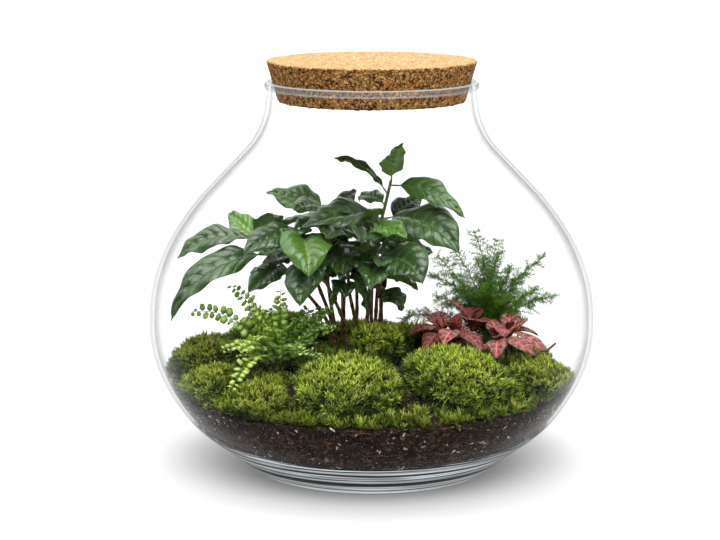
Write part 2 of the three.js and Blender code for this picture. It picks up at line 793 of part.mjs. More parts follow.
// Nerve plants: a short shoot with a head of leaves.
const shoots = NERVE.map(({ foot, top, leaves }, i) => {
  const owner = numbered("nerve", i);
  const ground = new THREE.Vector3(...foot, soilAt(...foot) + FOOT_RISE);
  const bodies = [take(rooted([ground, vec(top)], NERVE_STEM, NERVE_STEPS), owner)];
  leaves.forEach(([tip, width, turn], k) => {
    const root = vec(top).sub(new THREE.Vector3(0, 0, LEAF_DROP + NERVE_WHORL * k));
    const whole = (line) => nerveLeaf(line, width, CLEAR);
    const free = (line) => nerveLeaf(line, width, CLEAR, 2);
    const line = clearArch({ root, tip: vec(tip), turn, owner, whole, free, label: `leaf ${k} of ${owner}` });
    bodies.push(take(nerveLeaf(line, width, 0), owner));
  });
  return { foot: ground.toArray(), body: union(bodies) };
});

const LOOKS = {
  glass: { color: 0xe8f0f2, roughness: 0.03, metalness: 0, transparent: true, opacity: 0.25 },
  cork: { color: 0xd9b27c, roughness: 0.85, metalness: 0 },
  soil: { color: 0x2e211a, roughness: 0.95, metalness: 0 },
  moss: { color: 0x7c9a35, roughness: 0.95, metalness: 0 },
  coffee: { color: 0x2f6b34, roughness: 0.35, metalness: 0 },
  fern: { color: 0x86b04a, roughness: 0.6, metalness: 0 },
  asparagus: { color: 0x5f9a4a, roughness: 0.7, metalness: 0 },
  nerve: { color: 0xa8525c, roughness: 0.5, metalness: 0 },
};

node(holder, "glass_vessel", glass, [0, 0, 0], LOOKS.glass);
node(holder, "cork_stopper", corkStopper(), [0, 0, CORK_BOTTOM], LOOKS.cork);
node(planting, "soil_bed", soilBed().subtract(union(holes)), [0, 0, FLOOR], LOOKS.soil);
moss.forEach((body, i) => {
  const [x, y] = MOSS[i];
  node(planting, numbered("moss_cushion", i), body, [x, y, soilAt(x, y)], LOOKS.moss);
});
seedlings.forEach(({ bodies, foot }, i) => {
  node(planting, numbered("coffee_seedling", i), union(bodies), foot, LOOKS.coffee);
});
fronds.forEach(({ body, foot }, i) => node(planting, numbered("fern_frond", i), body, foot, LOOKS.fern));
sprays.forEach(({ body, foot }, i) => {
  node(planting, numbered("asparagus_spray", i), body, foot, LOOKS.asparagus);
});
shoots.forEach(({ body, foot }, i) => node(planting, numbered("nerve_shoot", i), body, foot, LOOKS.nerve));

export default part;
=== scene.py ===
# %% [markdown]
# A closed glass terrarium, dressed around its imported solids.
# The solids already hold every size and place. This lesson gives them their looks: it hides each plain
# solid behind a finer piece of the same form, and makes a finish for every piece from shader nodes.
# Lengths in the lesson are millimetres, because leaves and moss are small. MM turns them into metres
# where Blender takes them: for the camera, a mesh, a bump or a test against a solid.

# %% Load the frame
import math

import bpy
import numpy as np
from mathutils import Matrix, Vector
from mathutils.bvhtree import BVHTree


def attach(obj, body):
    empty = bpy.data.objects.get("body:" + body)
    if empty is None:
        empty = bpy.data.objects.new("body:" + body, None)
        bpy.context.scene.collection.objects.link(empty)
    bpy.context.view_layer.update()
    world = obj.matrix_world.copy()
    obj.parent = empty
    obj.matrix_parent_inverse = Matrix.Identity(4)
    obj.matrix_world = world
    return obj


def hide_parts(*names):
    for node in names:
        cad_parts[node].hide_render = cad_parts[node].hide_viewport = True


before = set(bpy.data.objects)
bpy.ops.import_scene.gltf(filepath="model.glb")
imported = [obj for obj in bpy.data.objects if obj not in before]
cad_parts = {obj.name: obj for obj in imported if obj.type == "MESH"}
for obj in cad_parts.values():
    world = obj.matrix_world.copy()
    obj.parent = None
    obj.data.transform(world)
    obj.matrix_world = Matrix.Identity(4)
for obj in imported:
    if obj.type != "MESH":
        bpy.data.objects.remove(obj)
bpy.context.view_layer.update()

MM = 0.001
UP = np.array([0.0, 0.0, 1.0])

# %% [markdown]
# The camera stands where the photographer's stood: in front, a little above the cork, with a long lens.
# A camera can be aimed by angles or by a target. The target is easier to check against a photo, so the
# rotation is worked out from the place that it looks at.

# %% Camera
CAMERA_AT = Vector((-7.8, -1400, 395)) * MM
CAMERA_AIM = Vector((-7.8, 0, 134)) * MM
CAMERA_LENS = 105.3

camera = bpy.data.objects.new("camera", bpy.data.cameras.new("camera"))
camera.data.lens = CAMERA_LENS
camera.location = CAMERA_AT
camera.rotation_euler = (CAMERA_AIM - CAMERA_AT).to_track_quat("-Z", "Y").to_euler()
bpy.context.scene.collection.objects.link(camera)
bpy.context.scene.camera = camera
print("camera:", [round(x, 3) for x in camera.location])

# %% [markdown]
# A finish is a small graph of nodes. Written node by node it hides the thought behind it, so three small
# classes carry the lesson: Wire wraps an output so that sums read as Python, Graph adds any other node
# with one method, and Finish is a graph that makes a material. Math nodes turn colours grey, so colours
# go through Mix nodes instead.


# %% Wire
class Wire:
    """A node's output. Sums on it add Math nodes."""

    def __init__(self, graph, socket):
        self.graph = graph
        self.socket = socket

    def math(self, operation, *values):
        return self.graph.node("ShaderNodeMath", {"operation": operation}, dict(enumerate(values)))

    def __add__(self, other):
        return self.math("ADD", self, other)

    def __sub__(self, other):
        return self.math("SUBTRACT", self, other)

    def __rsub__(self, other):
        return self.math("SUBTRACT", other, self)

    def __mul__(self, other):
        return self.math("MULTIPLY", self, other)

    def __pow__(self, other):
        return self.math("POWER", self, other)

    def __abs__(self):
        return self.math("ABSOLUTE", self)

    __radd__ = __add__
    __rmul__ = __mul__

    def clamp(self):
        return self.graph.node("ShaderNodeClamp", {}, {0: self})

    def zigzag(self):
        """Distance to the nearest whole number, from 0 to 0.5."""
        return self.math("PINGPONG", self, 0.5)

    def ramp(self, low, high):
        """0 at low and 1 at high, smoothly."""
        settings = {"interpolation_type": "SMOOTHSTEP"}
        return self.graph.node("ShaderNodeMapRange", settings, {0: self, 1: low, 2: high})


# %% [markdown]
# A colour is picked on a screen, so it is written as a hex code. Shaders count light instead, and
# paint turns the one into the other.

# %% Paint
MIDDLE_GREY = "808080"


def paint(code, strength=1.0):
    """A hex colour, as seen on a screen, in the linear numbers that shaders use."""
    seen = [int(code[i : i + 2], 16) / 255 for i in (0, 2, 4)]
    linear = [c / 12.92 if c <= 0.04045 else ((c + 0.055) / 1.055) ** 2.4 for c in seen]
    return (*[c * strength for c in linear], 1)


print("middle grey in linear numbers:", [round(c, 3) for c in paint(MIDDLE_GREY)[:3]])


# %% Graph
class Graph:
    """A tree of shader nodes."""

    def __init__(self, tree):
        self.tree = tree
        self.tree.nodes.clear()

    def node(self, kind, settings, sockets, output=0):
        """Adds a node. A socket takes a wire, a number, a vector or a colour's hex code."""
        node = self.tree.nodes.new(kind)
        for name, value in settings.items():
            setattr(node, name, value)
        for name, value in sockets.items():
            if isinstance(value, Wire):
                self.tree.links.new(value.socket, node.inputs[name])
            else:
                node.inputs[name].default_value = paint(value) if isinstance(value, str) else value
        return Wire(self, node.outputs[output])

    def ray(self, kind):
        """1 for a ray of one kind, such as Camera, and 0 for the others."""
        return self.node("ShaderNodeLightPath", {}, {}, f"Is {kind} Ray")

    def end(self, kind, shader):
        self.tree.links.new(shader.socket, self.tree.nodes.new(kind).inputs["Surface"])
        return len(self.tree.nodes)


# %% Finish of a surface
class Finish(Graph):
    """A material, built from nodes."""

    def __init__(self, name):
        self.material = bpy.data.materials.new(name)
        self.material.use_nodes = True
        super().__init__(self.material.node_tree)

    def value(self, name):
        """A number that each point of the mesh carries."""
        return self.node("ShaderNodeAttribute", {"attribute_name": name}, {}, "Fac")

    def place(self):
        return self.node("ShaderNodeTexCoord", {}, {}, "Object")

    def vector(self, operation, *values):
        return self.node("ShaderNodeVectorMath", {"operation": operation}, dict(enumerate(values)))

    def noise(self, scale, detail=2.0, place=None, output=0):
        sockets = {"Vector": place or self.place(), "Scale": scale, "Detail": detail}
        return self.node("ShaderNodeTexNoise", {}, sockets, output)

    def cells(self, scale, feature="F1", output="Distance", place=None):
        sockets = {"Vector": place or self.place(), "Scale": scale}
        return self.node("ShaderNodeTexVoronoi", {"feature": feature}, sockets, output)

    def each_cell(self, scale, place=None):
        """A number from 0 to 1 that is even over a cell and differs from cell to cell."""
        colour = self.cells(scale, output="Color", place=place)
        return self.node("ShaderNodeSeparateColor", {}, {0: colour})

    def mix(self, share, first, second):
        return self.node("ShaderNodeMix", {"data_type": "RGBA"}, {0: share, 6: first, 7: second}, 2)

    def bump(self, height, distance, strength=1.0):
        sockets = {"Height": height, "Distance": distance * MM, "Strength": strength}
        return self.node("ShaderNodeBump", {}, sockets)

    def principled(self, **sockets):
        named = {name.replace("_", " "): value for name, value in sockets.items()}
        return self.node("ShaderNodeBsdfPrincipled", {}, named)

    def passing(self, colour):
        """Light that goes straight through."""
        return self.node("ShaderNodeBsdfTransparent", {}, {"Color": colour})

    def blend(self, share, first, second):
        return self.node("ShaderNodeMixShader", {}, {0: share, 1: first, 2: second})

    def done(self, shader):
        print("finish:", self.material.name, self.end("ShaderNodeOutputMaterial", shader), "nodes")
        return self.material

    def solid(self, **sockets):
        """The finish of something that lets no light through."""
        return self.done(self.principled(**sockets))

    def leafy(self, share, colour, **sockets):
        """The finish of a leaf: a share of the light comes through from behind, in a colour of its own."""
        through = self.node("ShaderNodeBsdfTranslucent", {}, {"Color": colour})
        return self.done(self.blend(share, self.principled(**sockets), through))


# %% [markdown]
# Most of this object is thousands of small shapes: moss leaves, needles, crumbs. One Blender object for
# each would be slow, and instances are lost when the model is exported. So a Pile gathers plain arrays of
# points and faces, and pours them into one mesh. Every point can also carry numbers, such as how young
# its leaf is, which the finishes read.

# %% Pile: many shapes in one mesh
TRIANGLES = {}


class Pile:
    """Shapes that become one mesh."""

    def __init__(self):
        self.points = []
        self.faces = []
        self.finishes = []
        self.values = []
        self.count = 0

    def add(self, points, faces, finish=0, **values):
        """Adds points (n, 3) in millimetres, and arrays of faces that have the same number of corners."""
        points = np.asarray(points, float).reshape(-1, 3)
        self.points.append(points)
        for group in faces if isinstance(faces, list) else [faces]:
            self.faces.append(np.asarray(group) + self.count)
            self.finishes.append(np.full(len(group), finish))
        full = {k: np.broadcast_to(np.asarray(v, float), len(points)) for k, v in values.items()}
        self.values.append((len(points), full))
        self.count += len(points)

    def pour(self, name, finishes, nodes=(), smooth=True):
        """Makes the mesh and its object, which may stand for nodes of the solid model."""
        mesh = bpy.data.meshes.new(name)
        points = np.concatenate(self.points) * MM
        corners = np.concatenate([group.ravel() for group in self.faces])
        sizes = np.concatenate([np.full(len(group), group.shape[1]) for group in self.faces])
        mesh.vertices.add(len(points))
        mesh.vertices.foreach_set("co", points.astype(np.float32).ravel())
        mesh.loops.add(len(corners))
        mesh.loops.foreach_set("vertex_index", corners.astype(np.int32))
        mesh.polygons.add(len(sizes))
        mesh.polygons.foreach_set("loop_start", (np.cumsum(sizes) - sizes).astype(np.int32))
        mesh.polygons.foreach_set("material_index", np.concatenate(self.finishes).astype(np.int32))
        mesh.polygons.foreach_set("use_smooth", np.full(len(sizes), smooth))
        for key in sorted({key for _, values in self.values for key in values}):
            numbers = [values.get(key, np.zeros(n)) for n, values in self.values]
            layer = mesh.attributes.new(key, "FLOAT", "POINT")
            layer.data.foreach_set("value", np.concatenate(numbers).astype(np.float32))
        mesh.update(calc_edges=True)
        for finish in finishes:
            mesh.materials.append(finish)
        piece = bpy.data.objects.new(name, mesh)
        bpy.context.scene.collection.objects.link(piece)
        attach(piece, "root")
        if nodes:
            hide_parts(*nodes)
        TRIANGLES[name] = int((sizes - 2).sum())
        print(f"{name}: {TRIANGLES[name]} triangles")
        return piece


# %% [markdown]
# Round shapes here start in one of two ways. revolve turns an outline about the upright axis, as a lathe
# does. tube follows a path, as a stem does. Blender's Screw modifier and its curves could do both, but
# arrays of points are easier to dent, to bend and to give numbers before they become a mesh.


# %% Turned shapes and tubes
def unit(vectors):
    return vectors / np.maximum(np.linalg.norm(vectors, axis=-1, keepdims=True), 1e-12)


def revolve(outline, sides):
    """Points and faces of an outline of [radius, height], turned about Z."""
    angles = np.arange(sides) * (2 * math.pi / sides)
    points, rings, count = [], [], 0
    for radius, height in outline:
        if radius < 1e-6:
            points.append(np.array([[0, 0, height]]))
            rings.append(np.full(sides, count))
        else:
            ring = [radius * np.cos(angles), radius * np.sin(angles), np.full(sides, height)]
            points.append(np.stack(ring, 1))
            rings.append(count + np.arange(sides))
        count += len(points[-1])
    quads, ends = [], []
    for low, high in zip(rings, rings[1:]):
        if low[0] == low[1]:
            ends.append(np.stack([low, np.roll(high, -1), high], 1))
        elif high[0] == high[1]:
            ends.append(np.stack([low, np.roll(low, -1), high], 1))
        else:
            quads.append(np.stack([low, np.roll(low, -1), np.roll(high, -1), high], 1))
    groups = [np.concatenate(group) for group in (quads, ends) if group]
    return np.concatenate(points), groups


def tube(path, radius, sides=6):
    """Points and faces of a closed tube along a path, with a radius for each of its points."""
    path = np.asarray(path, float)
    radius = np.broadcast_to(np.asarray(radius, float), len(path))
    along = unit(np.gradient(path, axis=0))
    side = unit(np.cross(along[0], [0.31, 0.22, 0.92]))
    angles = np.arange(sides) * (2 * math.pi / sides)
    rings = []
    for at, forward, size in zip(path, along, radius):
        side = unit(side - forward * (side @ forward))
        other = np.cross(forward, side)
        rings.append(at + size * (np.cos(angles)[:, None] * side + np.sin(angles)[:, None] * other))
    points = np.concatenate([*rings, path[:1], path[-1:]])
    index = np.arange(len(path) * sides).reshape(len(path), sides)
    low, high = index[:-1], index[1:]
    quads = np.stack([low, np.roll(low, -1, 1), np.roll(high, -1, 1), high], -1).reshape(-1, 4)
    first, last = len(path) * sides, len(path) * sides + 1
    start = np.stack([np.roll(index[0], -1), index[0], np.full(sides, first)], 1)
    end = np.stack([index[-1], np.roll(index[-1], -1), np.full(sides, last)], 1)
    return points, [quads, np.concatenate([start, end])]


print("points on a tube of two rings:", len(tube([[0, 0, 0], [0, 0, 1]], 1)[0]))

# %% [markdown]
# Needles, leaflets and crumbs are one small shape repeated thousands of times. copies places it, with a
# direction and a size for each. ripple is smooth noise: a sum of waves in random directions, which is easy
# to write and gives the same bumps on every run.


# %% Copies and ripples
def copies(shape, faces, origins, axes, scales):
    """Copies of a shape. axes holds each copy's x, y and z directions, and scales its size along them."""
    sized = shape[None] * scales[:, None, :]
    points = origins[:, None] + np.einsum("nkj,njc->nkc", sized, axes)
    index = faces[None] + (np.arange(len(origins)) * len(shape))[:, None, None]
    return points.reshape(-1, 3), index.reshape(-1, faces.shape[1])


def axes_about(direction, spin):
    """Three square directions whose z is the given one, turned about it by spin."""
    z = unit(direction)
    helper = np.where(np.abs(z[:, 2:]) > 0.9, [[1.0, 0.0, 0.0]], [[0.0, 0.0, 1.0]])
    x = unit(np.cross(helper, z))
    y = np.cross(z, x)
    turn = np.cos(spin)[:, None], np.sin(spin)[:, None]
    return np.stack([x * turn[0] + y * turn[1], y * turn[0] - x * turn[1], z], 1)


def ripple(points, wavelength, seed, waves=14):
    """Smooth noise, mostly from -1 to 1."""
    draw = np.random.default_rng(seed)
    pitch = unit(draw.normal(size=(waves, 3))) * draw.uniform(0.7, 1.4, (waves, 1))
    pitch *= 2 * math.pi / wavelength
    phase = draw.uniform(0, 2 * math.pi, waves)
    return np.cos(points @ pitch.T + phase).sum(-1) / math.sqrt(waves)


# %% [markdown]
# A stem and the bowl's outline are each given by a few points. smooth_path joins them by a curve that
# passes through every one, and that doesn't swing out where points lie close together.


# %% Smooth path
def smooth_path(points):
    """A curve through points, as a function of a place from 0 to 1. It is the centripetal Catmull-Rom
    curve that the solids' stems follow."""
    points = np.asarray(points, float)
    ends = np.array([2 * points[0] - points[1], *points, 2 * points[-1] - points[-2]])

    def one(place):
        scaled = place * (len(points) - 1)
        i = min(int(scaled), len(points) - 2)
        share = scaled - i
        a, b, c, d = ends[i : i + 4]
        gaps = [max(np.sum((q - p) ** 2) ** 0.25, 1e-4) for p, q in ((a, b), (b, c), (c, d))]
        leave = (b - a) / gaps[0] - (c - a) / (gaps[0] + gaps[1]) + (c - b) / gaps[1]
        arrive = (c - b) / gaps[1] - (d - b) / (gaps[1] + gaps[2]) + (d - c) / gaps[2]
        leave, arrive = leave * gaps[1], arrive * gaps[1]
        cubic = 2 * b - 2 * c + leave + arrive
        square = -3 * b + 3 * c - 2 * leave - arrive
        return b + share * (leave + share * (square + share * cubic))

    return lambda places: np.array([one(place) for place in np.atleast_1d(places)])


# %% [markdown]
# The room is as plain as a product photo's: a pale floor that melts into a white background, and broad
# light from above and the front. Suns with wide discs light the near and the far floor alike, and their
# shadows are soft. Light linking lets two of them skip the bowl, because a lamp's mirror image in the glass
# would hide the plants, and the floor, which has two of its own: one is nearly as wide as the sky and
# reaches far under the belly, and one comes from the front, so that a short shadow is left. The room
# differs by the kind of ray. To the eye it is white. In reflections it is bright above and behind and dark
# in front, which gives the leaves their broad sheen. As a light it is dim, so that the moss keeps its dark
# gaps. The floor lies a hair under the foot, so that the two surfaces don't flicker.

# %% Floor and light
FLOOR_DROP = 0.3
FLOOR_HALF = 9000
FLOOR_WHITE = 0.55
FLOOR_GLOW = 0.03
FLOOR_BOUNCE = 0.4  # the share of its light that the floor sends back up
ROOM_LIGHT = 0.36  # how bright the room is as a light
ROOM_SHEEN = 1.7  # the brightest part of the room in reflections
SHEEN_LOW = 0.15  # a direction's rise, from -1 to 1, where the sheen begins
SHEEN_HIGH = 0.8  # and where it is full
SHEEN_BACK = 0.5  # how much a direction's way backwards counts as rise


def stage_floor():
    finish = Finish("floor_white")
    soft = finish.ray("Diffuse")
    white, dim = [(shade, shade, shade, 1) for shade in (FLOOR_WHITE, FLOOR_WHITE * FLOOR_BOUNCE)]
    shader = finish.principled(
        Base_Color=finish.mix(soft, white, dim), Roughness=0.9, Specular_IOR_Level=0.0,
        Emission_Color=(1, 1, 1, 1), Emission_Strength=FLOOR_GLOW,
    )
    mesh = bpy.data.meshes.new("floor")
    half = FLOOR_HALF * MM
    corners = [(-half, -half), (half, -half), (half, half), (-half, half)]
    mesh.from_pydata([(x, y, -FLOOR_DROP * MM) for x, y in corners], [], [(0, 1, 2, 3)])
    finish.material.cycles.emission_sampling = "NONE"
    mesh.materials.append(finish.done(shader))
    floor = bpy.data.objects.new("floor", mesh)
    bpy.context.scene.collection.objects.link(floor)
    return floor


def soft_sun(name, seen_from, width, strength):
    data = bpy.data.lights.new(name, "SUN")
    data.angle = math.radians(width)
    data.energy = strength
    lamp = bpy.data.objects.new(name, data)
    lamp.rotation_euler = Vector(seen_from).to_track_quat("Z", "Y").to_euler()
    bpy.context.scene.collection.objects.link(lamp)
    return lamp


def link_light(lamps, pieces, state):
    """INCLUDE: the lamps light only these pieces. EXCLUDE: they light all but these."""
    receivers = bpy.data.collections.new(f"light_{state.lower()}")
    for piece in pieces:
        receivers.objects.link(piece)
    for member in receivers.collection_objects:
        member.light_linking.link_state = state
    for lamp in lamps:
        lamp.light_linking.receiver_collection = receivers


def white_room():
    world = bpy.data.worlds.new("white_room")
    bpy.context.scene.world = world
    world.use_nodes = True
    room = Graph(world.node_tree)
    toward = room.node("ShaderNodeTexCoord", {}, {}, "Generated")
    back, up = [room.node("ShaderNodeSeparateXYZ", {}, {"Vector": toward}, axis) for axis in "YZ"]
    direct = 1 - room.ray("Diffuse")
    seen = (room.ray("Camera") + room.ray("Transmission") * direct).clamp()
    shiny = (room.ray("Glossy") * direct * (1 - seen)).clamp()
    sheen = (up + back * SHEEN_BACK).ramp(SHEEN_LOW, SHEEN_HIGH) * ROOM_SHEEN
    strength = seen + shiny * sheen + (1 - seen - shiny) * ROOM_LIGHT
    glow = room.node("ShaderNodeBackground", {}, {"Color": (1, 1, 1, 1), "Strength": strength})
    room.end("ShaderNodeOutputWorld", glow)
    bpy.context.scene.view_settings.view_transform = "Standard"


STAGE = stage_floor()
LAMPS = [
    soft_sun("key", (0.15, -0.45, 1.0), 60, 3.5),
    soft_sun("overhead", (0.0, 0.1, 1.0), 100, 1.8),
]
FLOOR_LAMPS = [
    soft_sun("floor_dome", (0.03, -0.3, 1.0), 165, 5.6),
    soft_sun("floor_front", (0.05, -1.0, 1.1), 36, 2.0),
]
link_light(FLOOR_LAMPS, [STAGE], "INCLUDE")
white_room()
print("lamps:", [lamp.name for lamp in LAMPS], "and for the floor alone:", len(FLOOR_LAMPS))

# %% [markdown]
# The bowl is one blown piece: a thick foot with a shallow hollow under it, a round belly and a neck with
# a fire-polished rim. The solid has flat sides and straight steps between its outline's points. Here the
# same points carry a smooth curve, turned with enough sides that the edge looks round.

# %% Bowl outline
WALL = 3.2
HEEL = 3.4  # how much thicker the wall is at its foot
HEEL_TOP = 40  # height where it is no thicker any more
FLOOR = 9  # height of the bottom inside
FLOOR_RADIUS = 86
UNDERSIDE = [[0, 2.4], [30, 2.3], [46, 1.9], [55, 0.9], [61, 0.1], [63, 0], [77.5, 0], [79.3, 0.3]]
BOWL = [
    [79, 0], [86.6, 5], [100.5, 16], [124.6, 36], [141.6, 62], [148.8, 84], [150, 104],
    [147.7, 125], [139, 150], [121, 178], [98, 203], [80.6, 222], [72.9, 238], [70.2, 254],
]
RIM_START = 256.4
RIM = [
    [70.3, RIM_START], [71.2, 257.6], [71.6, 259.4], [71, 261], [69.9, 261.9], [68.4, 262], [67.4, 261.7],
    [66.9, 260.8], [66.9, 259],
]
INSIDE = [[FLOOR_RADIUS, FLOOR]]
for radius, height in BOWL:
    if height > FLOOR:
        fade = max(0, 1 - height / HEEL_TOP)
        INSIDE.append([radius - WALL - HEEL * fade * fade, height])

BOWL_CURVE = smooth_path(BOWL)(np.linspace(0, 1, 53))
INSIDE_CURVE = smooth_path(INSIDE)(np.linspace(0, 1, 49))


def inside_at(height):
    """Radius of the inside of the glass."""
    return np.interp(height, INSIDE_CURVE[:, 1], INSIDE_CURVE[:, 0])


def keep_inside(points, gap=0.6):
    """Moves points that would stand in the glass back to its inside."""
    reach = np.linalg.norm(points[..., :2], axis=-1)
    fit = np.minimum(1, (inside_at(points[..., 2]) - gap) / np.maximum(reach, 1e-6))
    return np.concatenate([points[..., :2] * fit[..., None], points[..., 2:]], -1)


print("belly across, outside and inside:", 2 * BOWL_CURVE[:, 0].max().round(1), 2 * inside_at(104).round(1))

# %% [markdown]
# A blown wall is thin, and its two faces are parallel, so it hardly moves what is seen through it. It is
# drawn as a clear sheet: Transparent, a greyer Transparent where the eye looks along the wall, and a
# mirror that grows towards the outline. That keeps the plants crisp and lets light through. In the thick
# foot the light is bent so often that it comes out as bright and dark bands, stacked by height, and the
# rolled rim gathers light in two bright lines. Both are drawn: the bands wavy, and streaked along the
# ring. Rays that look for a lamp, or gather soft light, pass through all of it.

# %% Glass finish
MIRROR_HEAD_ON = 0.002
# The lowest and highest millimetre of each light band in the foot, and how bright it is.
FOOT_BANDS = [[0.9, 3.9, 1.0], [4.9, 8.8, 0.75], [12.3, 14.4, 0.6], [15.4, 18.4, 1.0], [20.6, 22.6, 0.8]]
BAND_SOFT = 0.45
BAND_WAVE = 1.4  # how far the bands wander up and down
WAVE_STRETCH = (1.0, 1.0, 6.0)
STREAK_STRETCH = (14.0, 14.0, 1100.0)
STREAKS = 0.8  # how much the streaks take from a band
STREAKS_LOWEST = 0.3  # and from the lowest one
FOOT_TOP = 24  # height where the bands have faded out
FOOT_FADE = 3
FOOT_CLIMB = 9  # how much higher they reach where the eye looks along the wall
FOOT_RAGGED = 12  # how far their upper end wanders
# The rim's light lines: height, half width and how opaque.
RIM_LINES = [[261.6, 0.5, 0.34], [257.6, 0.5, 0.12]]
# A faint painted light over the whole rolled rim: how opaque it is.
RIM_PAINTED_LIGHT = 0.05


def glass_wall(finish, facing, rim, clear):
    """The wall without its drawn light: clear, greyer towards the outline and the rim, and mirroring."""
    grey = finish.passing((0.36, 0.365, 0.365, 1))
    mirror = finish.node("ShaderNodeBsdfGlossy", {}, {"Color": (0.95, 0.96, 0.96, 1), "Roughness": 0.0})
    wall = finish.blend((facing**3 * 0.2 + facing.ramp(0.66, 1.0) * 0.5).clamp(), clear, grey)
    wall = finish.blend((facing**7 * 0.6 + MIRROR_HEAD_ON).clamp(), wall, mirror)
    return finish.blend((rim * facing * 0.6).clamp(), wall, grey)


def band_light(finish, height, streak):
    """How bright the foot is at each height: wavy bands, broken by streaks."""
    wave = finish.noise(9.0, 2.0, finish.vector("MULTIPLY", finish.place(), WAVE_STRETCH))
    waved = height + (wave - 0.5) * BAND_WAVE
    lit = streak.ramp(0.5, 0.6) * height.ramp(FOOT_TOP - FOOT_FADE, FOOT_TOP + 1) * 0.8
    for band, (low, high, strength) in enumerate(FOOT_BANDS):
        above = waved.ramp(low - BAND_SOFT, low + BAND_SOFT)
        below = 1 - waved.ramp(high - BAND_SOFT, high + BAND_SOFT)
        share = STREAKS if band else STREAKS_LOWEST
        lit = above * below * (1 - streak.ramp(0.42, 0.6) * share) * strength + lit
    return lit


def glass_finish():
    finish = Finish("blown_glass")
    facing = finish.node("ShaderNodeLayerWeight", {}, {"Blend": 0.5}, "Facing")
    height = finish.value("height")
    rim = height.ramp(RIM_START, RIM_START + 1)
    clear = finish.passing((0.989, 0.99, 0.99, 1))
    wall = glass_wall(finish, facing, rim, clear)
    streak = finish.noise(1.0, 3.0, finish.vector("MULTIPLY", finish.place(), STREAK_STRETCH))
    top = height - facing.ramp(0.4, 0.95) * FOOT_CLIMB - (streak - 0.5) * FOOT_RAGGED
    foot = (1 - top.ramp(FOOT_TOP - FOOT_FADE, FOOT_TOP)) * finish.value("outer")
    line = rim * RIM_PAINTED_LIGHT
    for at, half, opaque in RIM_LINES:
        line = (1 - abs(height - at).ramp(half * 0.4, half)) * opaque + line
    lit = band_light(finish, height, streak) * foot
    shine = (lit * (1 - facing.ramp(0.5, 0.9) * 0.5) + rim).clamp()
    bands = finish.principled(
        Base_Color=finish.mix(shine, "040506", "e4eaec"), Roughness=0.3,
        Emission_Color=finish.mix(shine, "000000", "dce4e8"), Emission_Strength=1.05,
        Specular_IOR_Level=0.1,
    )
    glass = finish.blend((foot * 0.94 + line).clamp(), wall, bands)
    light = (finish.ray("Shadow") + finish.ray("Diffuse")).clamp()
    finish.material.cycles.emission_sampling = "NONE"
    return finish.done(finish.blend(light, glass, clear))


# %% [markdown]
# The bowl's outline goes up the outside, over the rim and down the inside, so one turn gives a closed wall.
# Its points carry their height, and whether they are on the outer face: the foot's bands are drawn there
# alone, because on both faces they would show twice.

# %% Bowl
BOWL_SIDES = 192


def make_bowl():
    floor = [[60, FLOOR], [25, FLOOR], [0, FLOOR]]
    outline = [*UNDERSIDE, *BOWL_CURVE[1:], *RIM, *INSIDE_CURVE[::-1][1:], *floor]
    points, faces = revolve(outline, BOWL_SIDES)
    height = points[:, 2]
    radius = np.linalg.norm(points[:, :2], axis=1)
    below = (height < FLOOR) & (radius > BOWL_CURVE[0][0] - 0.1)
    outer = (radius > inside_at(height) + 1) | below
    bowl = Pile()
    bowl.add(points, faces, outer=outer, height=height)
    return bowl.pour("bowl", [glass_finish()], ["glass_vessel"])


link_light(LAMPS, [make_bowl(), STAGE], "EXCLUDE")

# %% [markdown]
# The stopper is pressed cork: granules of bark, 1 to 4 mm across, glued and ground to a taper. Its side
# shows cut granules in warm tans with dark crevices, and its top is paler. Cells (a Voronoi texture)
# give each granule its own colour, and the distance to a cell's edge gives the crevices. The larger
# pits are real dents in the mesh, so that the outline isn't perfectly straight.

# %% Cork finish
CORK_TOP = 276
CORK_BOTTOM = 249
CORK_TOP_RADIUS = 70
CORK_BOTTOM_RADIUS = 62.8
GRANULES = 400.0  # to a metre
BARK_SPECKS = 720.0


def cork_finish():
    finish = Finish("pressed_cork")
    place = finish.place()
    shift = finish.noise(420.0, 3.0, place, "Color")
    bent = finish.vector("ADD", place, finish.vector("MULTIPLY", shift, (0.0026, 0.0026, 0.0026)))
    granule = finish.each_cell(GRANULES, bent)
    edge = finish.cells(GRANULES, "DISTANCE_TO_EDGE", place=bent)
    fine = finish.noise(1300.0, 3.0, place)
    top = finish.value("top")
    tan = finish.mix(granule, "c47a38", "f4c27a")
    tan = finish.mix(fine.ramp(0.35, 0.7) * 0.5, tan, "87531f")
    pale = finish.mix(granule, "d2a86c", "ecd0a0")
    pale = finish.mix(fine.ramp(0.4, 0.7) * 0.4, pale, "bd9058")
    body = finish.mix(top * 0.9, tan, pale)
    speck = finish.each_cell(BARK_SPECKS, bent).ramp(0.66, 0.74)
    crevice = 1 - edge.ramp(0.0, 0.12)
    dark = (speck * 0.75 + crevice * 0.7).clamp() * (1 - top * 0.86)
    body = finish.mix(dark, body, "3b210f")
    relief = finish.bump(edge.ramp(0.0, 0.12) - speck * 0.8 + fine * 0.35, 0.7, 0.9)
    return finish.solid(Base_Color=body, Roughness=0.85, Normal=relief, Specular_IOR_Level=0.2)


# %% [markdown]
# The cork is turned from its outline too, with many more rings than its form needs, so that the pits have
# points to sink. Two ripples of different wavelengths give large and small pits.

# %% Cork
CORK_SIDES = 320
CORK_PITS = 0.5  # depth of a full pit
CORK_EDGE = 0.8  # how far its edges are cut back


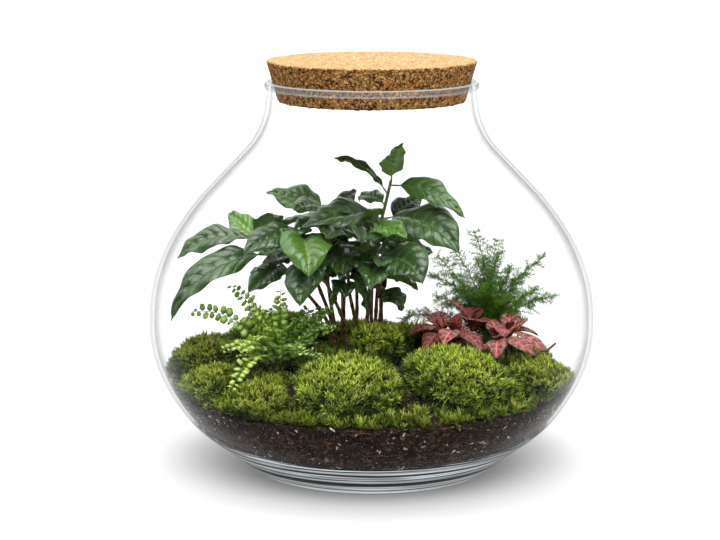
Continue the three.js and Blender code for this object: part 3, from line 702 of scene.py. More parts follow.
def make_cork():
    height = CORK_TOP - CORK_BOTTOM
    wall = [[CORK_BOTTOM_RADIUS, CORK_EDGE], [CORK_TOP_RADIUS, height - CORK_EDGE]]
    rise = np.linspace(0, 1, 24)[:, None]
    side = np.array(wall[0]) * (1 - rise) + np.array(wall[1]) * rise
    lid = [[r, height] for r in np.linspace(CORK_TOP_RADIUS - 0.9, 6, 36)]
    outline = [[0, 0], [40, 0], [CORK_BOTTOM_RADIUS - CORK_EDGE, 0], *side, *lid, [0, height]]
    points, faces = revolve(np.array(outline) + [0, CORK_BOTTOM], CORK_SIDES)
    pits = np.clip(ripple(points, 5, 3) - 0.5, 0, 1) + np.clip(ripple(points, 2.6, 4) - 0.7, 0, 1)
    out = unit(points * [1, 1, 0])
    on_side = (points[:, 2] < CORK_TOP - 0.5) & (points[:, 2] > CORK_BOTTOM + 0.5)
    points -= np.where(on_side[:, None], out, UP) * pits[:, None] * CORK_PITS
    cork = Pile()
    cork.add(points, faces, top=(points[:, 2] > CORK_TOP - 0.7).astype(float))
    cork.pour("cork", [cork_finish()], ["cork_stopper"])


make_cork()

# %% [markdown]
# Potting soil is dark and crumbly, with white perlite and pale fibres that press against the glass. One
# displaced body gives the mass. Loose crumbs, perlite and fibres are real small shapes in front of it,
# because they catch the light at the glass, where the eye is close to them. The body stands back from
# the glass a little, so that the crumbs have room.

# %% Soil
SOIL_EDGE = 57  # height where the soil meets the glass
SOIL_MOUND = 20  # how much higher its middle is
SOIL_GAP = 0.45  # between the soil and the glass
SOIL_SIDES = 240
SOIL_BACK = 1.0  # how far the body stands back behind the crumbs
SOIL_RADIUS = float(inside_at(SOIL_EDGE)) - SOIL_GAP


def soil_at(x, y):
    return SOIL_EDGE + SOIL_MOUND * (1 - (x * x + y * y) / SOIL_RADIUS**2)


def soil_finish():
    finish = Finish("potting_soil")
    tone = finish.each_cell(420.0)
    edge = finish.cells(420.0, "DISTANCE_TO_EDGE")
    patch = finish.noise(60.0, 3.0)
    colour = finish.mix(tone, "150e0a", "3d2a1e")
    colour = finish.mix(tone.ramp(0.86, 0.93), colour, "6b4a34")
    colour = finish.mix(patch.ramp(0.35, 0.7) * 0.5, colour, "1a120d")
    relief = finish.bump(edge.ramp(0.0, 0.3) + finish.noise(900.0) * 0.5, 1.0)
    rough = 0.6 + patch * 0.35
    return finish.solid(Base_Color=colour, Roughness=rough, Normal=relief, Specular_IOR_Level=0.15)


def make_soil():
    heights = np.linspace(FLOOR + 2, SOIL_EDGE, 36)
    side = [[inside_at(z) - SOIL_GAP, z] for z in heights]
    mound = [[r, soil_at(r, 0)] for r in np.linspace(SOIL_RADIUS, 0, 44)[1:]]
    floor = [[0, FLOOR + 0.4], [50, FLOOR + 0.4], [FLOOR_RADIUS - 1, FLOOR + 0.4]]
    points, faces = revolve([*floor, *side, *mound], SOIL_SIDES)
    out = unit(points * [1, 1, 0])
    rough = ripple(points, 7, 11) * 0.6 + ripple(points, 3, 12) * 0.4
    on_side = points[:, 2] <= soil_at(points[:, 0], points[:, 1]) - 0.5
    points -= np.where(on_side[:, None], out * np.clip(rough + SOIL_BACK, 0.1, 3)[:, None], 0)
    points += np.where(on_side[:, None], 0, UP * np.clip(rough - 0.3, -1.5, 0.4)[:, None])
    soil = Pile()
    soil.add(points, faces)
    soil.pour("soil", [soil_finish()], ["soil_bed"])


make_soil()

# %% [markdown]
# Crumbs and perlite are irregular chips. An octahedron with each corner pushed about is enough for a
# crumb of a millimetre or two. Perlite is rounder, so it starts from an icosahedron. They lie just
# inside the glass, flattened against it, and on the mound.

# %% Crumbs, perlite and fibres
GOLDEN = (1 + math.sqrt(5)) / 2
OCTAHEDRON = np.array([[1, 0, 0], [-1, 0, 0], [0, 1, 0], [0, -1, 0], [0, 0, 1], [0, 0, -1]], float)
OCTAHEDRON_FACES = np.array(
    [[0, 2, 4], [2, 1, 4], [1, 3, 4], [3, 0, 4], [2, 0, 5], [1, 2, 5], [3, 1, 5], [0, 3, 5]]
)
FIBRES = 520


def icosahedron():
    points = []
    for a in (-1, 1):
        for b in (-GOLDEN, GOLDEN):
            points += [(0, a, b), (a, b, 0), (b, 0, a)]
    points = unit(np.array(points, float))
    near = 2 / math.sqrt(1 + GOLDEN**2) * 1.1
    touch = np.linalg.norm(points[:, None] - points[None], axis=-1) < near
    faces = []
    for i in range(12):
        for j in range(i + 1, 12):
            for k in range(j + 1, 12):
                if touch[i, j] and touch[j, k] and touch[i, k]:
                    turned = np.dot(np.cross(points[j] - points[i], points[k] - points[i]), points[i]) > 0
                    faces.append((i, j, k) if turned else (i, k, j))
    return points, np.array(faces)


def chips(shape, faces, places, inward, size, draw, proportions):
    """Chips of about the given sizes, each with its own form. The last proportion is inward."""
    axes = axes_about(inward, draw.uniform(0, 6.3, len(places)))
    scales = size[:, None] * draw.uniform(0.5, 1.3, (len(places), 3)) * proportions
    points, index = copies(shape, faces, places, axes, scales)
    corners = points.reshape(len(places), len(shape), 3)
    middle = places[:, None]
    corners = middle + (corners - middle) * draw.uniform(0.7, 1.15, (len(places), len(shape), 1))
    return keep_inside(corners.reshape(-1, 3), 0.3), index


def against_glass(count, draw):
    """Places just inside the glass where the soil meets it, and the direction into the soil."""
    angle = draw.uniform(0, 2 * math.pi, count)
    height = draw.uniform(FLOOR + 1.5, SOIL_EDGE + 1, count)
    radius = inside_at(height) - SOIL_GAP
    slope = (inside_at(height + 1) - inside_at(height - 1)) / 2
    out = np.stack([np.cos(angle), np.sin(angle), -slope], 1)
    return np.stack([radius * np.cos(angle), radius * np.sin(angle), height], 1), -unit(out)


def ground_at(angle, reach):
    """Places on the mound at an angle about its middle and a reach from it."""
    x, y = reach * np.cos(angle), reach * np.sin(angle)
    return np.stack([x, y, soil_at(x, y)], 1)


def on_mound(count, draw, radius=SOIL_RADIUS - 3):
    """Places spread evenly over the mound, and the direction into the soil."""
    angle = draw.uniform(0, 2 * math.pi, count)
    return ground_at(angle, radius * np.sqrt(draw.uniform(0, 1, count))), np.tile(-UP, (count, 1))


def grit_finish(name, low, high, rough, scale):
    finish = Finish(name)
    speck = finish.noise(scale, 3.0)
    colour = finish.mix(finish.value("tint"), low, high)
    colour = finish.mix(speck.ramp(0.4, 0.75) * 0.45, colour, paint(low, 0.5))
    relief = finish.bump(speck, 0.2)
    return finish.solid(Base_Color=colour, Roughness=rough, Normal=relief, Specular_IOR_Level=0.2)


def make_chips(name, finish, seed, counts, solid, proportions, least, more, rare, sunk, dark):
    """Chips at the glass and on the mound. Their sizes start at the least and reach that and more, and the
    higher rare is, the fewer are large. The higher dark is, the fewer are pale."""
    draw = np.random.default_rng(seed)
    shape, faces = solid
    pile = Pile()
    for spread, count in zip((against_glass, on_mound), counts):
        places, inward = spread(count, draw)
        size = least + more * draw.random(count) ** rare
        places = places + inward * (size * sunk)[:, None]
        points, index = chips(shape, faces, places, inward, size, draw, proportions)
        pile.add(points, index, tint=np.repeat(draw.random(count) ** dark, len(shape)))
    pile.pour(name, [finish], smooth=False)


def make_fibres():
    draw = np.random.default_rng(23)
    pile = Pile()
    places, inward = against_glass(FIBRES, draw)
    for at, into, tint in zip(places, inward, draw.random(len(places))):
        level = unit(np.cross(into, UP))
        upward = np.cross(level, into)
        lean = draw.uniform(0, math.pi)
        heading = level * math.cos(lean) + upward * math.sin(lean) * 0.6
        curl = np.cross(into, heading) * draw.uniform(-0.25, 0.25)
        steps = np.linspace(-1, 1, 5)[:, None]
        path = keep_inside(at + (heading * steps + curl * steps**2) * draw.uniform(1.2, 4.5), 0.5)
        points, faces = tube(path, [0.08, 0.16, 0.2, 0.16, 0.06], 3)
        pile.add(points, faces, tint=tint)
    pile.pour("soil_fibres", [grit_finish("soil_fibre", "5a3d28", "b58a62", 0.75, 700.0)])


make_chips(
    "soil_crumbs", grit_finish("soil_crumb", "110b07", "85644a", 0.75, 900.0), 21, [8800, 1200],
    (OCTAHEDRON, OCTAHEDRON_FACES), [1, 1, 0.5], least=0.6, more=1.5, rare=2.2, sunk=0.35, dark=4,
)
make_chips(
    "perlite", grit_finish("perlite", "b3a595", "f6f1ea", 0.9, 1400.0), 22, [1050, 150],
    icosahedron(), [1.45, 0.75, 0.6], least=0.22, more=1.4, rare=4, sunk=0.3, dark=1,
)
make_fibres()

# %% [markdown]
# Cushion moss is a dome of upright shoots, each a star of pointed leaves a few millimetres long. The
# stars are what the eye reads as moss: bright points over dark gaps. Hair would be the usual way, but it
# is lost in an export, so each leaf is a real narrow blade with a bend in it. They stand on a lumpy dome,
# which closes the gaps between them. The dome stands for the shoots' lower stems, and its near-black
# colour is painted shade for the depth between the shoots. The domes meet each other, the bare ground and
# the glass where the solids do, so their outline repeats the solids' rule.

# %% Moss layout
# A cushion's middle, its reach along x and along y, and its height. Bare ground: its middle and radius.
MOSS = [
    [-16, -90, 43, 37, 22], [56, -72, 41, 38, 25], [3, -29, 23, 20, 27], [-115, -8, 27, 30, 28],
    [-107, -58, 25, 25, 19], [-73, -94, 28, 27, 15], [-36, -34, 20, 20, 10], [-70, 52, 38, 36, 25],
    [113, -48, 29, 32, 22], [31, 8, 20, 20, 20], [-5, 88, 44, 38, 12], [104, 62, 30, 32, 13],
]
BARE = [[-10, 16, 20], [-62, -24, 11], [80, 30, 11], [57, -8, 9], [86, -20, 8]]
MOSS_UNDERCUT = 112  # degrees from a cushion's top to its foot: past 90 it draws in
MOSS_LIFT = 0.5  # how far it stands over the soil
MOSS_APART = 0.7  # half the gap between two cushions
MOSS_FACING = 0.05  # a neighbour cuts back only the side that faces it by more than this
# From 0, dark green, to 1, bright yellow-green; and how brown each cushion is.
MOSS_BRIGHT = [0.95, 0.8, 0.7, 0.45, 0.6, 0.7, 0.4, 0.55, 0.55, 0.4, 0.5, 0.5]
MOSS_BROWN = [0.1, 0.1, 0.25, 0.55, 0.35, 0.5, 0.6, 0.5, 0.3, 0.45, 0.4, 0.4]


def moss_reach(index, angle):
    """How far a cushion reaches at each angle: an oval, cut back where a neighbour or bare ground begins."""
    x, y, rx, ry, _ = MOSS[index]
    own = (rx + ry) / 2
    reach = rx * ry / np.hypot(ry * np.cos(angle), rx * np.sin(angle))
    sites = [[sx, sy, (a + b) / 2] for sx, sy, a, b, _ in MOSS] + BARE
    for i, (sx, sy, size) in enumerate(sites):
        if i != index:
            apart = math.hypot(sx - x, sy - y)
            facing = ((sx - x) * np.cos(angle) + (sy - y) * np.sin(angle)) / apart
            border = (apart**2 + own**2 - size**2) / (2 * apart) - MOSS_APART
            cut = border / np.maximum(facing, MOSS_FACING)
            reach = np.where(facing > MOSS_FACING, np.minimum(reach, cut), reach)
    return reach


def moss_dome(index, slope, angle):
    """Points on a cushion, and the directions out of it."""
    slope, angle = np.broadcast_arrays(slope, angle)
    x, y, _, _, height = MOSS[index]
    low = math.cos(math.radians(MOSS_UNDERCUT))
    reach = moss_reach(index, angle)
    out = reach * np.sin(slope)
    rise = height * (np.cos(slope) - low) / (1 - low)
    px, py = x + out * np.cos(angle), y + out * np.sin(angle)
    held = keep_inside(np.stack([px, py, SOIL_EDGE + rise], -1), 0.8)
    px, py = held[..., 0], held[..., 1]
    points = np.stack([px, py, soil_at(px, py) + MOSS_LIFT + rise], -1)
    flat = np.sin(slope) / np.maximum(reach, 1)
    tall = np.cos(slope) * (1 - low) / height
    return points, unit(np.stack([flat * np.cos(angle), flat * np.sin(angle), tall], -1))


print("moss cushions:", len(MOSS), "reach of the first:", moss_reach(0, np.array([0.0])).round(1))

# %% [markdown]
# A moss leaf is bright at its tip and nearly black at its root: partly the darker old tissue there, and
# partly painted shade for the gaps between the shoots. No two shoots are the same green. The points carry
# both: tip runs from 0 at the root to 1 at the tip, and tint is a shoot's place between a deep and a high
# green, which on a cushion also carries painted shade towards its foot. Each cushion adds how bright and
# how brown it is.


# %% Moss finish
def moss_finish():
    finish = Finish("cushion_moss")
    tip, tint = finish.value("tip"), finish.value("tint")
    bright, brown = finish.value("bright"), finish.value("brown")
    # Painted shade: the near-black root colour darkens the gaps between the shoots, and the dome under them.
    root = finish.mix(brown, "030501", "0a0602")
    deep = finish.mix(bright, "182604", "28400a")
    high = finish.mix(bright, "a8be42", "e2f664")
    leaf = finish.mix(tint, deep, high)
    leaf = finish.mix((tint.ramp(0.75, 1.0) * brown).clamp(), leaf, "a0823e")
    colour = finish.mix(tip.ramp(0.15, 0.85), root, leaf)
    return finish.leafy(0.12, "9cc030", Base_Color=colour, Roughness=0.6, Specular_IOR_Level=0.1)


MOSS_FINISH = moss_finish()

# %% [markdown]
# A cushion is made in two parts: the dark dome, and the shoots on it, in rings. Towards its foot the shoots
# are smaller and sunk deeper, and their tint is darker: painted shade, for the less light that falls there.

# %% Moss cushions
SHOOTS_APART = 3.4  # between one moss shoot and the next
SHOOT_LEAVES = 13
UPRIGHT_LEAVES = 5
UPRIGHT_LENGTH = 5.8
SPREAD_LENGTH = 5.0
MOSS_LEAF_HALF = 0.5  # half a moss leaf's width
MOSS_LEAF_BEND = 0.45
SHOOT_SUNK = 5.6  # how far a shoot starts under the cushion's surface
FOOT_SUNK = 1.6  # and how much deeper at the cushion's foot
DOME_ROWS = 26
DOME_SIDES = 72


def dome_lumps(points):
    return ripple(points, 22, 31) * 0.6 + ripple(points, 8, 32) * 0.7


def make_dome(pile, index, bright, brown):
    """The body under the shoots. It stands for their lower stems, and its near-black colour is painted shade.
    """
    slope = np.radians(np.linspace(3, MOSS_UNDERCUT, DOME_ROWS))[:, None]
    angle = np.arange(DOME_SIDES)[None] * (2 * math.pi / DOME_SIDES)
    points, out = moss_dome(index, slope, angle)
    points = points + out * (dome_lumps(points) - SHOOT_SUNK)[..., None]
    crown = points[0].mean(0, keepdims=True)
    floor = points[-1].mean(0, keepdims=True)
    grid = np.arange(DOME_ROWS * DOME_SIDES).reshape(DOME_ROWS, DOME_SIDES)
    high, low = grid[:-1], grid[1:]
    quads = np.stack([high, low, np.roll(low, -1, 1), np.roll(high, -1, 1)], -1).reshape(-1, 4)
    last = DOME_ROWS * DOME_SIDES
    cap = np.stack([grid[0], np.roll(grid[0], -1), np.full(DOME_SIDES, last)], 1)
    base = np.stack([np.roll(grid[-1], -1), grid[-1], np.full(DOME_SIDES, last + 1)], 1)
    points = keep_inside(np.concatenate([points.reshape(-1, 3), crown, floor]), 0.9)
    pile.add(points, [quads, np.concatenate([cap, base])], tip=0.1, bright=bright, brown=brown)


def moss_places(index, draw):
    """Slopes and angles of the shoots, in rings that are about as far apart as the shoots are."""
    height = MOSS[index][-1]
    mean = moss_reach(index, np.linspace(0, 2 * math.pi, 60)).mean()
    tall = height / (1 - math.cos(math.radians(MOSS_UNDERCUT)))
    slopes, angles = [], []
    slope = 0.02
    while slope < math.radians(MOSS_UNDERCUT - 6):
        count = max(1, round(2 * math.pi * mean * math.sin(slope) / SHOOTS_APART))
        step = SHOOTS_APART / math.hypot(mean * math.cos(slope), tall * math.sin(slope))
        slopes.append(slope + step * draw.uniform(-0.6, 0.6, count))
        angles.append((np.arange(count) + draw.uniform(-0.6, 0.6, count)) * (2 * math.pi / count))
        slope += step
    return np.abs(np.concatenate(slopes)), np.concatenate(angles)


def add_shoots(pile, feet, axis, size, draw, **values):
    """Stars of pointed leaves. Each leaf is a narrow strip that bends outwards at its middle."""
    count = len(feet)
    frames = axes_about(axis, draw.uniform(0, 6.3, count))
    for k in range(SHOOT_LEAVES):
        upright = k < UPRIGHT_LEAVES
        around = UPRIGHT_LEAVES if upright else SHOOT_LEAVES - UPRIGHT_LEAVES
        turn = 2 * math.pi * k / around + draw.uniform(-0.4, 0.4, count)
        lean = draw.uniform(0.05, 0.4, count) if upright else draw.uniform(0.55, 1.1, count)
        flat = frames[:, 0] * np.cos(turn)[:, None] + frames[:, 1] * np.sin(turn)[:, None]
        start = feet + axis * ((1.4 if upright else 0.8) * size)[:, None]
        heading = axis * np.cos(lean)[:, None] + flat * np.sin(lean)[:, None]
        length = (UPRIGHT_LENGTH if upright else SPREAD_LENGTH) * size * draw.uniform(0.65, 1.2, count)
        half = np.cross(axis, flat) * (MOSS_LEAF_HALF * size)[:, None]
        middle = start + heading * (length * 0.5)[:, None]
        end = middle + unit(heading + flat * MOSS_LEAF_BEND) * (length * 0.5)[:, None]
        corners = np.stack([start - half, start + half, middle - half * 0.8, middle + half * 0.8, end], 1)
        first = np.arange(count)[:, None] * 5
        faces = [first + [0, 1, 3, 2], first + [2, 3, 4]]
        each = {key: np.repeat(np.broadcast_to(value, count), 5) for key, value in values.items()}
        tips = np.tile([0.1, 0.1, 0.5, 0.5, 1.0], count)
        pile.add(keep_inside(corners.reshape(-1, 3), 0.4), faces, tip=tips, **each)


def make_cushion(index, draw):
    bright, brown = MOSS_BRIGHT[index], MOSS_BROWN[index]
    pile = Pile()
    make_dome(pile, index, bright, brown)
    slope, angle = moss_places(index, draw)
    points, out = moss_dome(index, slope, angle)
    low = slope / math.radians(MOSS_UNDERCUT)
    count = len(points)
    feet = points + out * (dome_lumps(points) - SHOOT_SUNK - FOOT_SUNK * low**3)[:, None]
    axis = unit(out * 0.9 + UP * 0.25 + draw.normal(0, 0.2, points.shape))
    # Painted shade: shoots lower on the dome get a darker tint, and more so on a browner cushion.
    shade = (1.3 + 0.5 * brown) * low
    tint = 1.12 - shade + 0.16 * ripple(points, 10, 33) + draw.normal(0, 0.34, count)
    size = draw.uniform(0.85, 1.15, count) * (1 - 0.3 * low**3)
    add_shoots(pile, feet, axis, size, draw, tint=np.clip(tint, 0, 1), bright=bright, brown=brown)
    node = f"moss_cushion_{index + 1:02d}"
    pile.pour(f"moss_{index + 1:02d}", [MOSS_FINISH], [node], smooth=False)


def make_moss():
    draw = np.random.default_rng(30)
    for index in range(len(MOSS)):
        make_cushion(index, draw)


make_moss()

# %% [markdown]
# Between the cushions the ground isn't bare: stray shoots, browner and smaller, have spread over it. They
# are drawn at random over the mound, and those that would stand in a cushion are left out. Near the glass
# the eye looks into the crevices, so there the shoots are taller and may stand in a cushion's edge.

# %% Stray moss
STRAY_SHOOTS = 3300
STRAY_CLEAR = 2.5  # how far they keep from a cushion
EDGE_SHOOTS = 1700
EDGE_BAND = 22  # how far from the glass they reach
EDGE_OVERLAP = 3
EDGE_TALLER = 0.35
STRAY_SUNK = 0.8


def under_moss(places, spare):
    covered = np.zeros(len(places), bool)
    for index, (x, y, _, _, _) in enumerate(MOSS):
        dx, dy = places[:, 0] - x, places[:, 1] - y
        covered |= np.hypot(dx, dy) < moss_reach(index, np.arctan2(dy, dx)) + spare
    return covered


def by_the_glass(count, draw):
    angle = draw.uniform(0, 2 * math.pi, count)
    return ground_at(angle, draw.uniform(SOIL_RADIUS - EDGE_BAND, SOIL_RADIUS - 2, count))


def make_stray_moss():
    draw = np.random.default_rng(35)
    pile = Pile()
    for places, spare, taller in (
        (on_mound(STRAY_SHOOTS, draw, SOIL_RADIUS - EDGE_BAND)[0], STRAY_CLEAR, 0),
        (by_the_glass(EDGE_SHOOTS, draw), -EDGE_OVERLAP, EDGE_TALLER),
    ):
        feet = places[~under_moss(places, spare)] - UP * STRAY_SUNK
        count = len(feet)
        axis = unit(UP + draw.normal(0, 0.25, feet.shape))
        size = draw.uniform(0.6, 1.05, count) + taller
        tint = np.clip(draw.normal(0.42, 0.3, count), 0, 1)
        add_shoots(pile, feet, axis, size, draw, tint=tint, bright=0.6, brown=0.6)
    pile.pour("moss_stray", [MOSS_FINISH], smooth=False)


make_stray_moss()

# %% [markdown]
# Every leaf and frond follows an arch: a part of a circle from its root to its tip. The solids bend some
# of them aside to keep clear of their neighbours. The finer leaf has to lie on the same arch, so this
# cell tries the same bends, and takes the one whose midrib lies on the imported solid's surface.

# %% Arches
BENDS = [
    [swing, lift]
    for lift in (0, 8, -8, 16, -16, 26, 36)
    for swing in (0, 8, -8, 16, -16, 26, -26, 38, -38)
]
STEEPEST = math.radians(86)
GOLDEN_TURN = 2.4  # radians from one leaf of a spiral to the next, which spreads them evenly
MISSES = []


def aside(start, heading, reach, rise):
    """The place that lies a reach away from the start in a heading, and a rise above it."""
    return np.asarray(start, float) + [reach * math.cos(heading), reach * math.sin(heading), rise]


def arch(root, tip, turn, roll=0.0):
    """The arching line from a root to a tip, and its length. At places from 0 to 1 the line gives the
    points, and the directions along, across and out of the upper side."""
    root, tip = np.asarray(root, float), np.asarray(tip, float)
    chord = tip - root
    flat = math.hypot(chord[0], chord[1])
    heading = np.array([chord[0] / flat, chord[1] / flat, 0])
    bend = math.radians(max(turn, 1))
    length = np.linalg.norm(chord) * (bend / 2) / math.sin(bend / 2)
    start = math.atan2(chord[2], flat) + bend / 2
    level = np.array([heading[1], -heading[0], 0])
    lean = math.radians(roll)

    def line(places):
        pitch = start - bend * np.asarray(places, float)[..., None]
        out = length * (math.sin(start) - np.sin(pitch)) / bend
        rise = length * (np.cos(pitch) - math.cos(start)) / bend
        along = heading * np.cos(pitch) + UP * np.sin(pitch)
        upright = np.cross(level, along)
        across = level * math.cos(lean) + upright * math.sin(lean)
        return root + heading * out + UP * rise, along, across, np.cross(across, along)

    return line, length


def bent(root, tip, swing, lift):
    """A tip swung and lifted about its root."""
    reach = np.asarray(tip, float) - root
    heading = math.atan2(reach[1], reach[0]) + math.radians(swing)
    length = np.linalg.norm(reach)
    pitch = math.atan2(reach[2], math.hypot(reach[0], reach[1])) + math.radians(lift)
    pitch = max(-STEEPEST, min(STEEPEST, pitch))
    return aside(root, heading, length * math.cos(pitch), length * math.sin(pitch))


def surface_of(node):
    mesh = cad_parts[node].data
    return BVHTree.FromPolygons([v.co for v in mesh.vertices], [p.vertices for p in mesh.polygons])


def packed_arch(surface, root, tip, turn, roll, places):
    """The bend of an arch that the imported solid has, as its line and length."""
    best = None
    for swing, lift in BENDS:
        line, length = arch(root, bent(root, tip, swing, lift), turn, roll)
        miss = max(surface.find_nearest(Vector(point))[3] for point in line(places)[0] * MM) / MM
        if best is None or miss < best[0]:
            best = miss, line, length
    MISSES.append(best[0])
    return best[1], best[2]


def print_misses(plants):
    print(f"{plants}: of {len(MISSES)} arches so far, the worst misses its solid by {max(MISSES):.3f} mm")


print("bends to try:", len(BENDS))

# %% [markdown]
# A leaf is a thin closed sheet: a grid of points for the upper face, the same grid a little lower for the
# underside, and one shared rim. Its half width comes from the solids' formula. The finer surface adds
# what makes a coffee leaf: a sunken midrib, quilting that bulges between the side veins, a margin that
# ripples, and a slight twist. Each point carries where it lies on the leaf, so that the finish can draw
# veins there.

# %% Leaf shape
LEAF_STALK = 0.12  # the stalk's share of a leaf's length
LEAF_STALK_HALF = 0.55


def leaf_half(place, width):
    blade = np.maximum(0, (place - LEAF_STALK) / (1 - LEAF_STALK))
    shape = np.sin(math.pi * blade**0.85) ** 0.85 * (1 - 0.25 * blade**3)
    return np.maximum(LEAF_STALK_HALF, width / 2 * np.maximum(shape, 0))


def leaf_relief(u, v, half, form, draw):
    """Height of the upper face over a flat leaf, at places u along it and v across it."""
    on_blade = np.clip((u - LEAF_STALK) / 0.12, 0, 1) * np.clip((1 - u) / 0.1, 0, 1)
    side = np.abs(v)
    vein = u * form["veins"] - side**1.3 * form["slant"]
    bulge = form["quilt"] * np.abs(np.sin(math.pi * vein)) ** 0.7 * (1 - side**4) * np.minimum(1, side * 5)
    first, second = [np.where(v > 0, *draw.uniform(0, 2 * math.pi, 2)) for _ in range(2)]
    turns = 2 * math.pi * u * form["ripples"]
    margin = form["wave"] * (np.sin(turns + first) + 0.4 * np.sin(turns * 1.7 + second)) * side**2.2
    groove = form["groove"] * np.exp(-((v * half / 1.1) ** 2))
    twist = form["twist"] * np.sin(2 * math.pi * u * 0.8 + draw.uniform(0, 6.3)) * v * half
    return form["dome"] * half * np.sin(2.6 * side) + on_blade * (bulge + margin - groove + twist)


def sheet(rows, columns):
    """Faces of a closed sheet of two grids that share their rim: the upper grid's points come first, then
    the inner points of the lower grid."""
    grid = np.arange((rows + 1) * (columns + 1)).reshape(rows + 1, columns + 1)
    under = grid.copy()
    inner = (rows - 1) * (columns - 1)
    under[1:-1, 1:-1] = grid.size + np.arange(inner).reshape(rows - 1, columns - 1)
    faces = []
    for index, order in ((grid, (0, 1, 2, 3)), (under, (0, 3, 2, 1))):
        corners = [index[:-1, :-1], index[:-1, 1:], index[1:, 1:], index[1:, :-1]]
        faces.append(np.stack([corners[k] for k in order], -1).reshape(-1, 4))
    return np.concatenate(faces)


def add_leaf(pile, line, length, width, form, draw, **values):
    rows, columns = form["rows"], form["columns"]
    side = np.sin(np.linspace(-math.pi / 2, math.pi / 2, columns + 1))
    u, v = np.meshgrid(np.linspace(0, 1, rows + 1), side, indexing="ij")
    at, along, across, upper = [a[:, None] for a in line(u[:, 0])]
    half = leaf_half(u, width) * np.where(u > 0.97, 0.6, 1)
    height = leaf_relief(u, v, half, form, draw)
    sway = form["sway"] * np.sin(2 * math.pi * (u * 0.8 + draw.random())) * np.clip(u * 4 - 0.5, 0, 1)
    top = at + across * (v * half + sway)[..., None] + upper * height[..., None]
    thick = form["thick"] * (1 - np.abs(v) ** 6) * np.where(u < LEAF_STALK, 2.2, 1)
    bottom = (top - upper * thick[..., None])[1:-1, 1:-1]
    points = keep_inside(np.concatenate([top.reshape(-1, 3), bottom.reshape(-1, 3)]), 0.5)
    place_u, place_v = [np.concatenate([a.ravel(), a[1:-1, 1:-1].ravel()]) for a in (u, v)]
    under = np.repeat([0.0, 1.0], [u.size, len(points) - u.size])
    values.update(u=place_u, v=place_v, under=under, length=length, half=width / 2, tint=draw.random())
    pile.add(points, sheet(rows, columns), **values)


COFFEE_FORM = dict(
    rows=40, columns=16, veins=8.5, slant=1.5, ripples=3.1, dome=0.2, quilt=1.2, wave=1.2,
    groove=0.9, sway=1.2, twist=0.22, thick=0.45,
)
INNER_FORM = {**COFFEE_FORM, "rows": 22, "columns": 8, "veins": 4.5}
NERVE_FORM = dict(
    rows=18, columns=12, veins=6, slant=1.0, ripples=2.3, dome=0.2, quilt=0.45, wave=0.4,
    groove=0.3, sway=0.3, twist=0.12, thick=0.4,
)
print("faces on a coffee leaf:", len(sheet(COFFEE_FORM["rows"], COFFEE_FORM["columns"])))

# %% [markdown]
# A coffee leaf is dark and glossy above, with paler veins, and duller and yellower below. Young leaves are
# a clear mid green. Some light comes through, which a Translucent shader gives: that is why a leaf that is
# lit from behind glows. Stems are brown bark with tan streaks, greener on the youngest shoot.


# %% Coffee finishes
def coffee_leaf_finish():
    finish = Finish("coffee_blade")
    u, under = finish.value("u"), finish.value("under")
    young, tint = finish.value("young"), finish.value("tint")
    out = abs(finish.value("v"))
    midrib = 1 - out.ramp(0.02, 0.09)
    branch = (u * COFFEE_FORM["veins"] - out**1.3 * COFFEE_FORM["slant"]).zigzag()
    side_vein = (1 - branch.ramp(0.02, 0.09)) * (1 - out.ramp(0.75, 1.0))
    patch = finish.noise(55.0, 3.0)
    old = finish.mix(tint, "162c0c", "2a4c16")
    old = finish.mix(patch.ramp(0.4, 0.7) * 0.6, old, "3e6622")
    fresh = finish.mix(patch, "3c7a1c", "74ac34")
    top = finish.mix(young, old, fresh)
    vein_colour = finish.mix(young, "5a7a3c", "9cc45e")
    top = finish.mix((midrib * 0.8 + side_vein * 0.2).clamp(), top, vein_colour)
    below = finish.mix(tint, "4d7a2a", "77a03c")
    below = finish.mix((midrib + side_vein * 0.5).clamp() * 0.6, below, "a0bc6c")
    colour = finish.mix(under, top, below)
    rough = 0.24 + patch * 0.22 + under * 0.25
    crinkle = finish.noise(240.0, 3.0) * 0.9 + finish.noise(700.0) * 0.12
    relief = finish.bump(branch.ramp(0.0, 0.14) * 0.9 + crinkle, 0.8, 0.85)
    return finish.leafy(
        0.1, "6fa832",
        Base_Color=colour, Roughness=rough, Normal=relief, Coat_Weight=0.2, Specular_IOR_Level=0.65,
    )


def bark_finish():
    finish = Finish("coffee_bark")
    streak = finish.noise(420.0, 4.0)
    bark = finish.mix(streak.ramp(0.38, 0.66), "6a442b", "b58a60")
    bark = finish.mix(finish.noise(90.0).ramp(0.5, 0.75) * 0.6, bark, "cdaa80")
    colour = finish.mix(finish.value("young"), bark, "5f7a33")
    return finish.solid(Base_Color=colour, Roughness=0.55, Normal=finish.bump(streak, 0.25))


# %% [markdown]
# Each seedling repeats its solid's numbers: the points of its stem, and for each leaf the place on the
# stem, the tip, the width, how far it arches and how far it rolls. The last number of a leaf is new
# here: how young it is, from 0 for an old dark leaf to 1 for a fresh one.

